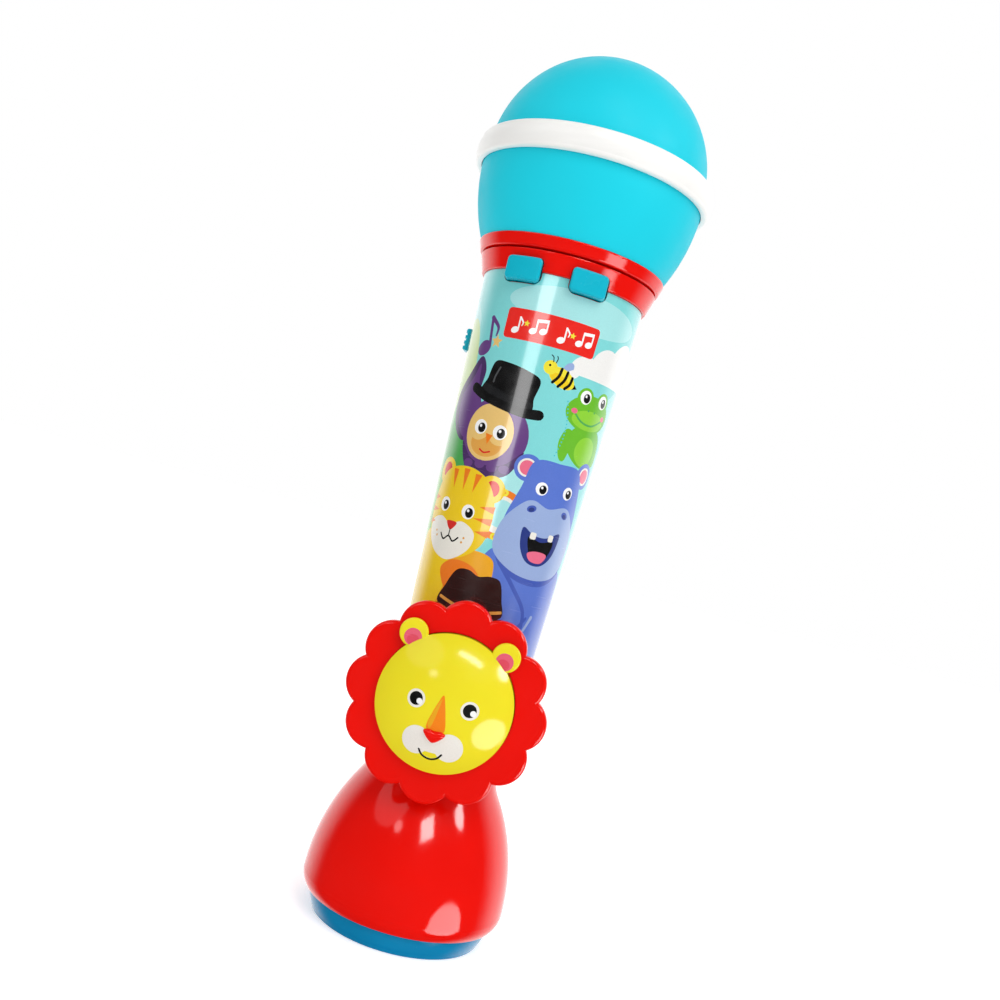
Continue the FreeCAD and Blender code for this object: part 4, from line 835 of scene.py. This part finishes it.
def scenery():
    """Everything printed on the film, from the back of the picture to its front."""
    art = []
    mists = ((-100, 160, 16, 9), (20, 168, 20, 5), (110, 145, 18, 10), (-20, 118, 15, 12))
    for degrees, z, across, up in mists:
        art += laid([(MIST, oval(0, 0, across, up))], degrees, z)
    small_cloud = cloud([(-5, 1.2, 3.8, 3.2), (0, 2.2, 4.6, 4.6), (5, 1.4, 3.8, 3.4)])
    for degrees, z, size in ((-150, 160, 1.0), (150, 150, 0.9), (-118, 150, 0.7), (118, 163, 0.8)):
        art += laid(small_cloud, degrees, z, size=size)
    art += laid(sun(5.2), 132, 112)
    bushes = (
        (PALE_GREEN, -68, 153, [(-8, -24), (-9, -8), (-5, 6), (1, 9), (5, 4), (7, -8), (8, -24)]),
        (MOSS, -56, 134, [(-9, -16), (-8, -2), (-3, 6), (3, 4), (7, -5), (9, -16)]),
        (LEAF, -88, 122, [(-12, -20), (-10, -4), (-3, 4), (5, 2), (10, -8), (12, -20)]),
    )
    for ink, degrees, z, points in bushes:
        art += laid([(ink, curve(points))], degrees, z)
    hills = (
        (-176, 86, PALE_GREEN), (-128, 92, LIME), (-98, 84, LEAF), (98, 94, LEAF), (140, 84, LIME),
        (176, 90, MOSS), (-152, 70, MOSS), (-112, 66, PALE_GREEN), (112, 70, PALE_GREEN), (156, 66, LEAF),
    )
    for degrees, top, ink in hills:
        art += laid([(ink, oval(0, -28, 20, 28, points=60))], degrees, top)
    art += laid(tree(MOSS, 11), -132, 100) + laid(tree(LEAF, 9), 158, 98) + laid(tree(MOSS, 8), -160, 92)
    art += laid(drum(), -118, 78, turn=6) + laid(drum(), 146, 74, turn=-5, size=0.9)
    flowers = ((-140, 72), (-165, 66), (168, 62), (128, 60), (-98, 62), (104, 74))
    for k, (degrees, z) in enumerate(flowers):
        art += laid(flower((ROSE, ORANGE, LEMON)[k % 3], 2.2 + 0.3 * (k % 2)), degrees, z)
    notes = ((-100, 138), (-142, 134), (105, 128), (150, 126), (-125, 122), (100, 152))
    for k, (degrees, z) in enumerate(notes):
        make = (note, note_pair)[k % 2]
        art += laid(make(0, 0, 5.0, (TEAL_INK, PURPLE, RUBY)[k % 3]), degrees, z, turn=(-8, 10)[k % 2])
    for degrees, z in ((-158, 118), (-88, 148), (92, 112), (135, 132), (-110, 104), (165, 108)):
        art += laid([(LEMON, star(0, 0, 1.9))], degrees, z)
    big_cloud = cloud([(-8, 1.5, 4.5, 3.8), (-1.5, 3.5, 5.5, 5.5), (6, 5, 6.8, 7.4), (13, 2, 4.5, 4)])
    art += laid(big_cloud, 56, 152.6)
    art += laid(note(0, 0, 7.5, PURPLE), -45.5, 154, turn=8)
    art += laid(frog(), 50, 144)
    art += laid(tambourine(), 1.0, 113)
    art += laid(owl(), -19.5, 132.3)
    art += laid([(TAN, star(0, 0, 1.9))], -34.6, 156.0)
    art += laid(top_hat(), -17.5, 141.2, turn=-11)
    art += laid(bee(), 17.5, 150.6, turn=-18)
    for k in range(16):
        degrees = 27.5 + 4.5 * math.sin(math.pi * k / 17)
        art += laid([(CYAN, oval(0, 0, 0.22, points=8))], degrees, 145.5 - 0.95 * k)
    art += laid(hippo(), 37, 113.2)
    art += laid(striped_cat(), -33.5, 111)
    art += laid(low_cap(), -3.0, 93.2)
    art += laid(badge(), 3.2, 161.4)
    return art


def grip_film():
    """The printed film, in place of its plain CAD solid."""
    reach = math.pi * FILM_R
    low, high = FILM_LOW[0], FILM_HIGH[0]
    columns, rows = 96, 30
    xs = [-reach + 2 * reach * k / columns for k in range(columns + 1)]
    zs = [low + (high - low) * k / rows for k in range(rows + 1)]
    edges = [(x, low) for x in xs[:-1]] + [(reach, z) for z in zs[:-1]]
    edges += [(x, high) for x in reversed(xs[1:])] + [(-reach, z) for z in reversed(zs[1:])]
    grid = [(x, z) for x in xs[1:-1] for z in zs[1:-1]]
    art = []
    for ink, outline in scenery():
        for turn in (-1, 0, 1):
            moved = [(x + 2 * reach * turn, z) for x, z in outline]
            if max(x for x, _ in moved) > -reach and min(x for x, _ in moved) < reach:
                art.append((ink, moved))
    holes = []
    for outline in [*film_openings(), *button_holes()]:
        for turn in (-1, 0):
            moved = [(x + 2 * reach * turn, z) for x, z in outline]
            if max(x for x, _ in moved) > -reach and min(x for x, _ in moved) < reach:
                holes.append(moved)
    sheet = split_sheet(art, edges, holes, grid, SKY)
    film = printed_skin("printed_film", sheet, on_film, FILM_THICKNESS * MM)
    film.data.materials.append(printed("film_print", 0.16, 0.6, 0.25))
    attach(film, "casing")
    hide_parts("barrel_label")


# ---------------------------------------------------------------- lion
FACE_Z = node_middle("mane_plate").z
FACE_APEX = -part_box("face_dome")[0].y / MM
FACE_ARC_R = 25.98
PRINT_PROUD = 0.05
NOSE_Y = -6.9          # from the middle of the face
EAR_FRONT = 27.7       # forward of the axis
EAR_CENTRE = (11.85, 14.95)
DOME_EDGE = 17.0


def on_face(x, y):
    """A point of the face's cap seen straight from the front, and its outward normal."""
    r = FACE_ARC_R + PRINT_PROUD
    centre = Vector((0, -(FACE_APEX - FACE_ARC_R), FACE_Z))
    out = Vector((x, -math.sqrt(r**2 - x**2 - y**2), y))
    return (centre + out) * MM, out.normalized()


def face_print():
    """The printed parts of the lion's face."""
    shapes = [(MUZZLE, oval(side * 4.15 + 0.1, -9.3, 3.5, 3.65)) for side in (-1, 1)]
    shapes += [
        (MUZZLE, card(0.1, -9.2, 5.0, 4.6, 1.0)),
        (BRIDGE, curve([(0, 3.1), (0.9, 1.0), (1.7, -1.8), (2.3, -4.5), (1.8, -5.8), (-1.8, -5.8),
                        (-2.3, -4.5), (-1.7, -1.8), (-0.9, 1.0)])),
        # The lighter amber stripe down the bridge's left side is a painted highlight: it stands in for light
        # falling on that side of a raised ridge.
        (AMBER, curve([(-0.1, 2.2), (-0.9, 0.4), (-1.6, -2.0), (-2.1, -4.4), (-1.4, -5.4), (-0.7, -2.8)])),
        (BLACK, stroke([(-2.8, -11.4), (-1.8, -12.7), (0.1, -13.3), (1.9, -12.7), (2.9, -11.4)], 0.5)),
    ]
    for x, y in ((-6.4, 0.6), (6.95, 1.0)):
        shapes += [
            (MUZZLE, oval(x, y, 2.25)),
            (BLACK, oval(x, y, 1.65)),
            (WHITE, oval(x + 0.95, y - 0.45, 0.72, points=24)),
        ]
    step = 1.1
    places = [(step * i, step * j) for i in range(-16, 17) for j in range(-16, 17)]
    grid = [place for place in places if math.hypot(*place) < 15]
    sheet = split_sheet(shapes, oval(0, 0, 15.5, points=96), [], grid, None)
    print_piece = printed_skin("face_print", sheet, on_face, PRINT_PROUD * MM)
    print_piece.data.materials.append(printed("face_ink", 0.12, 0.5, 0.05))
    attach(print_piece, "face")


def on_ear(x, y):
    """A point of the flat front of the ears, and its outward normal."""
    return Vector((x, -EAR_FRONT - PRINT_PROUD, FACE_Z + y)) * MM, Vector((0, -1, 0))


def ear_print():
    """The pink inside of each ear, cut off by the edge of the face."""
    shapes = []
    for side in (-1, 1):
        x, y = side * (EAR_CENTRE[0] - 0.1), EAR_CENTRE[1] - 1.05
        shapes.append((CORAL, oval(x, y, 2.25, 2.2)))
        shapes.append((BLUSH, oval(x - side * 0.2, y - 0.7, 1.6, 1.35)))
    edge = card(0, EAR_CENTRE[1], 36, 12, 1.0)
    sheet = split_sheet(shapes, edge, [oval(0, 0, DOME_EDGE, points=120)], [], None)
    piece = printed_skin("ear_print", sheet, on_ear, PRINT_PROUD * MM)
    piece.data.materials.append(printed("ear_ink", 0.2, 0.2, 0.05))
    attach(piece, "face")


NOSE_SUNK, NOSE_HEIGHT = 0.12, 1.25     # how far its rim lies under the face, and its rise from there, in mm
NOSE_RINGS = 9


def puffed_nose():
    """The raised nose: a soft triangle that swells out of the face, in place of its plain CAD solid."""
    outline = curve([(-2.75, 0.75), (-1.5, 1.25), (0, 1.05), (1.5, 1.25), (2.75, 0.75), (2.35, -0.2),
                     (1.2, -1.35), (0, -1.95), (-1.2, -1.35), (-2.35, -0.2)], steps=5)
    middle = Vector((0, NOSE_Y))
    shape = bmesh.new()
    rings = []
    for k in range(NOSE_RINGS + 1):
        angle = 0.5 * math.pi * k / NOSE_RINGS
        tip = k == NOSE_RINGS
        spread = 1 if tip else math.cos(angle) ** 0.8
        height = NOSE_HEIGHT * math.sin(angle) - NOSE_SUNK
        ring = []
        for x, y in [(0, -0.1)] if tip else outline:
            point, normal = on_face(*(middle + Vector((x, y)) * spread))
            ring.append(shape.verts.new(point + normal * height * MM))
        rings.append(ring)
    count = len(outline)
    for low, high in zip(rings, rings[1:-1]):
        for k in range(count):
            shape.faces.new((low[k], low[(k + 1) % count], high[(k + 1) % count], high[k]))
    for k in range(count):
        shape.faces.new((rings[-2][k], rings[-2][(k + 1) % count], rings[-1][0]))
    shape.faces.new(list(reversed(rings[0])))
    bmesh.ops.recalc_face_normals(shape, faces=shape.faces)
    mesh = bpy.data.meshes.new("puffed_nose")
    shape.to_mesh(mesh)
    shape.free()
    mesh.shade_smooth()
    nose = bpy.data.objects.new("puffed_nose", mesh)
    bpy.context.scene.collection.objects.link(nose)
    mesh.materials.append(FINISH["nose_red"])
    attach(nose, "face")
    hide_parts("face_nose")


def springy(node):
    """A copy of a soft or sprung CAD node, with a mesh of its own, that stands in its place on the casing."""
    piece = NODES[node].copy()
    piece.data = NODES[node].data.copy()
    piece.name = piece.data.name = "squeezed_" + node
    bpy.context.scene.collection.objects.link(piece)
    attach(piece, "casing")
    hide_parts(node)
    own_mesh(piece)


grip_film()
face_print()
ear_print()
puffed_nose()
for side in ("left", "right"):
    springy(side + "_button_pad")
springy("face_pad")
springy("face_spring")


# ---------------------------------------------------------------- light, floor and camera
def directions(azimuth, elevation):
    """The unit vector from the middle towards a light or camera at that azimuth and elevation."""
    a, e = math.radians(azimuth), math.radians(elevation)
    return Vector((math.sin(a) * math.cos(e), -math.cos(a) * math.cos(e), math.sin(e)))


def softbox(name, place, aim_z, size, radiance, turn=0.0, lights=False, shape="ELLIPSE", only=()):
    """A light at (azimuth, distance, height), facing the axis at a height. One that doesn't light the object
    only shows in its gloss. It can be kept to some pieces, as a screen beside a lamp does."""
    azimuth, distance, height = place
    data = bpy.data.lights.new(name, "AREA")
    data.shape = shape
    data.size, data.size_y = size
    data.energy = radiance * math.pi * size[0] * size[1]
    light = bpy.data.objects.new(name, data)
    light.location = directions(azimuth, 0) * distance + Vector((0, 0, height))
    towards = light.location - Vector((0, 0, aim_z))
    facing = towards.to_track_quat("Z", "Y").to_matrix() @ Matrix.Rotation(math.radians(turn), 3, "Z")
    light.rotation_euler = facing.to_euler()
    light.visible_diffuse = lights
    light.visible_glossy = not lights
    bpy.context.scene.collection.objects.link(light)
    if only:
        reached = bpy.data.collections.new(name + "_reaches")
        for piece in only:
            reached.objects.link(piece)
        light.light_linking.receiver_collection = reached


# The room's strength: as the camera sees it, as it lights the object from the left and the right, and as it
# shows in gloss in front of the object and behind it.
ROOM_SEEN = 1.0
ROOM_LEFT, ROOM_RIGHT = 0.58, 0.79
ROOM_GLOSS_FRONT, ROOM_GLOSS_BACK = 0.05, 1.35
FLOOR_SEEN, FLOOR_LIGHTS = 0.5, 0.12     # what the floor gives off, to the camera and to the object


def studio():
    world = bpy.data.worlds.new("studio")
    world.use_nodes = True
    world.cycles.sampling_method = "NONE"
    tree = world.node_tree
    sky = tree.nodes["Background"]
    sky.inputs["Color"].default_value = (1.0, 1.0, 1.0, 1.0)
    ray = tree.nodes.new("ShaderNodeLightPath")
    where = tree.nodes.new("ShaderNodeSeparateXYZ")
    tree.links.new(tree.nodes.new("ShaderNodeTexCoord").outputs["Generated"], where.inputs[0])

    def graded(axis, start, end, low, high):
        """A strength that goes from low to high between two places along an axis of the room."""
        node = tree.nodes.new("ShaderNodeMapRange")
        node.interpolation_type = "SMOOTHSTEP"
        tree.links.new(where.outputs[axis], node.inputs["Value"])
        limits = {"From Min": start, "From Max": end, "To Min": low, "To Max": high}
        for name, value in limits.items():
            node.inputs[name].default_value = value
        return node.outputs["Result"]

    def chosen(output, other, strength):
        """The strength for rays of that kind, and the other strength for the rest."""
        node = tree.nodes.new("ShaderNodeMix")
        tree.links.new(ray.outputs[output], node.inputs["Factor"])
        tree.links.new(other, node.inputs["A"])
        if isinstance(strength, bpy.types.NodeSocket):
            tree.links.new(strength, node.inputs["B"])
        else:
            node.inputs["B"].default_value = strength
        return node.outputs["Result"]

    strength = graded("Y", 0.12, 0.62, ROOM_GLOSS_FRONT, ROOM_GLOSS_BACK)
    strength = chosen("Is Diffuse Ray", strength, graded("X", -1.0, 1.0, ROOM_LEFT, ROOM_RIGHT))
    tree.links.new(chosen("Is Camera Ray", strength, ROOM_SEEN), sky.inputs["Strength"])
    scene = bpy.context.scene
    scene.world = world
    scene.view_settings.view_transform = "Standard"
    softbox("key", (32, 1.0, 0.98), 0.13, (0.8, 0.8), 2.9, lights=True, shape="SQUARE")
    film = bpy.data.objects["printed_film"]
    shells = [NODES["front_casing"], NODES["rear_casing"]]
    others = [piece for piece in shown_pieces() if piece != film]
    softbox("strip", (-16, 0.28, 0.165), 0.12, (0.095, 0.17), 5.0, shape="RECTANGLE", only=[film])
    softbox("close_lamp", (-23, 0.28, 0.18), 0.12, (0.05, 0.04), 3.5, only=others)
    softbox("near_window", (16, 0.5, 0.36), 0.05, (0.15, 0.14), 14.0, turn=20, shape="RECTANGLE", only=shells)
    softbox("overhead", (18, 0.68, 0.9), 0.1, (0.52, 0.11), 13.0, turn=-25, shape="RECTANGLE")
    softbox("right_window", (66, 0.85, 0.68), 0.1, (0.22, 0.28), 11.0)
    softbox("low_right", (59, 0.95, -0.38), 0.05, (0.7, 0.62), 5.0)
    softbox("left_glow", (-52, 0.9, 0.8), 0.1, (1.0, 0.7), 0.6)

    mesh = bpy.data.meshes.new("floor")
    half = 3.0
    corners = [(-half, -half, 0), (half, -half, 0), (half, half, 0), (-half, half, 0)]
    mesh.from_pydata(corners, [], [(0, 1, 2, 3)])
    floor = bpy.data.objects.new("floor", mesh)
    floor.visible_glossy = False
    scene.collection.objects.link(floor)
    s = Shader("floor_paper")
    tone = s.mix(s.ranged(s.noise(0.2), 0.3, 0.7, 0.0, 1.0), linear("f8f8f8"), linear("ffffff"))
    paper = s.bump(s.noise(0.8 * MM), 0.05, 0.05 * MM)
    seen = s.add("ShaderNodeLightPath").outputs["Is Camera Ray"]
    s.set(base_color=tone, roughness=0.9, normal=paper, emission_color=(1.0, 1.0, 1.0, 1.0))
    s.set(emission_strength=s.ranged(seen, 0.0, 1.0, FLOOR_LIGHTS, FLOOR_SEEN))
    mesh.materials.append(s.material)
    floor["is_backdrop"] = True


CAMERA_AZIMUTH = 4.7       # degrees to the right of the front
CAMERA_TILT = 1.0          # degrees upwards
CAMERA_ROLL = 15.13
CAMERA_LENS = 38.9         # mm, on a sensor 36 mm wide


def camera():
    ahead = -directions(CAMERA_AZIMUTH, -CAMERA_TILT)
    level = ahead.cross(Vector((0, 0, 1))).normalized()
    above = level.cross(ahead)
    roll = math.radians(CAMERA_ROLL)
    right = math.cos(roll) * level + math.sin(roll) * above
    up = math.cos(roll) * above - math.sin(roll) * level
    aim = Vector((0, 0, 0.4875 * HEIGHT)) - 0.00855 * HEIGHT * level
    data = bpy.data.cameras.new("camera")
    data.lens = CAMERA_LENS
    data.sensor_width = 36.0
    data.clip_start = 0.01
    data.clip_end = 100.0
    view = bpy.data.objects.new("camera", data)
    turned = Matrix((right, up, -ahead)).transposed().to_4x4()
    view.matrix_world = Matrix.Translation(aim - 1.227 * HEIGHT * ahead) @ turned
    bpy.context.scene.collection.objects.link(view)
    bpy.context.scene.camera = view


studio()
camera()
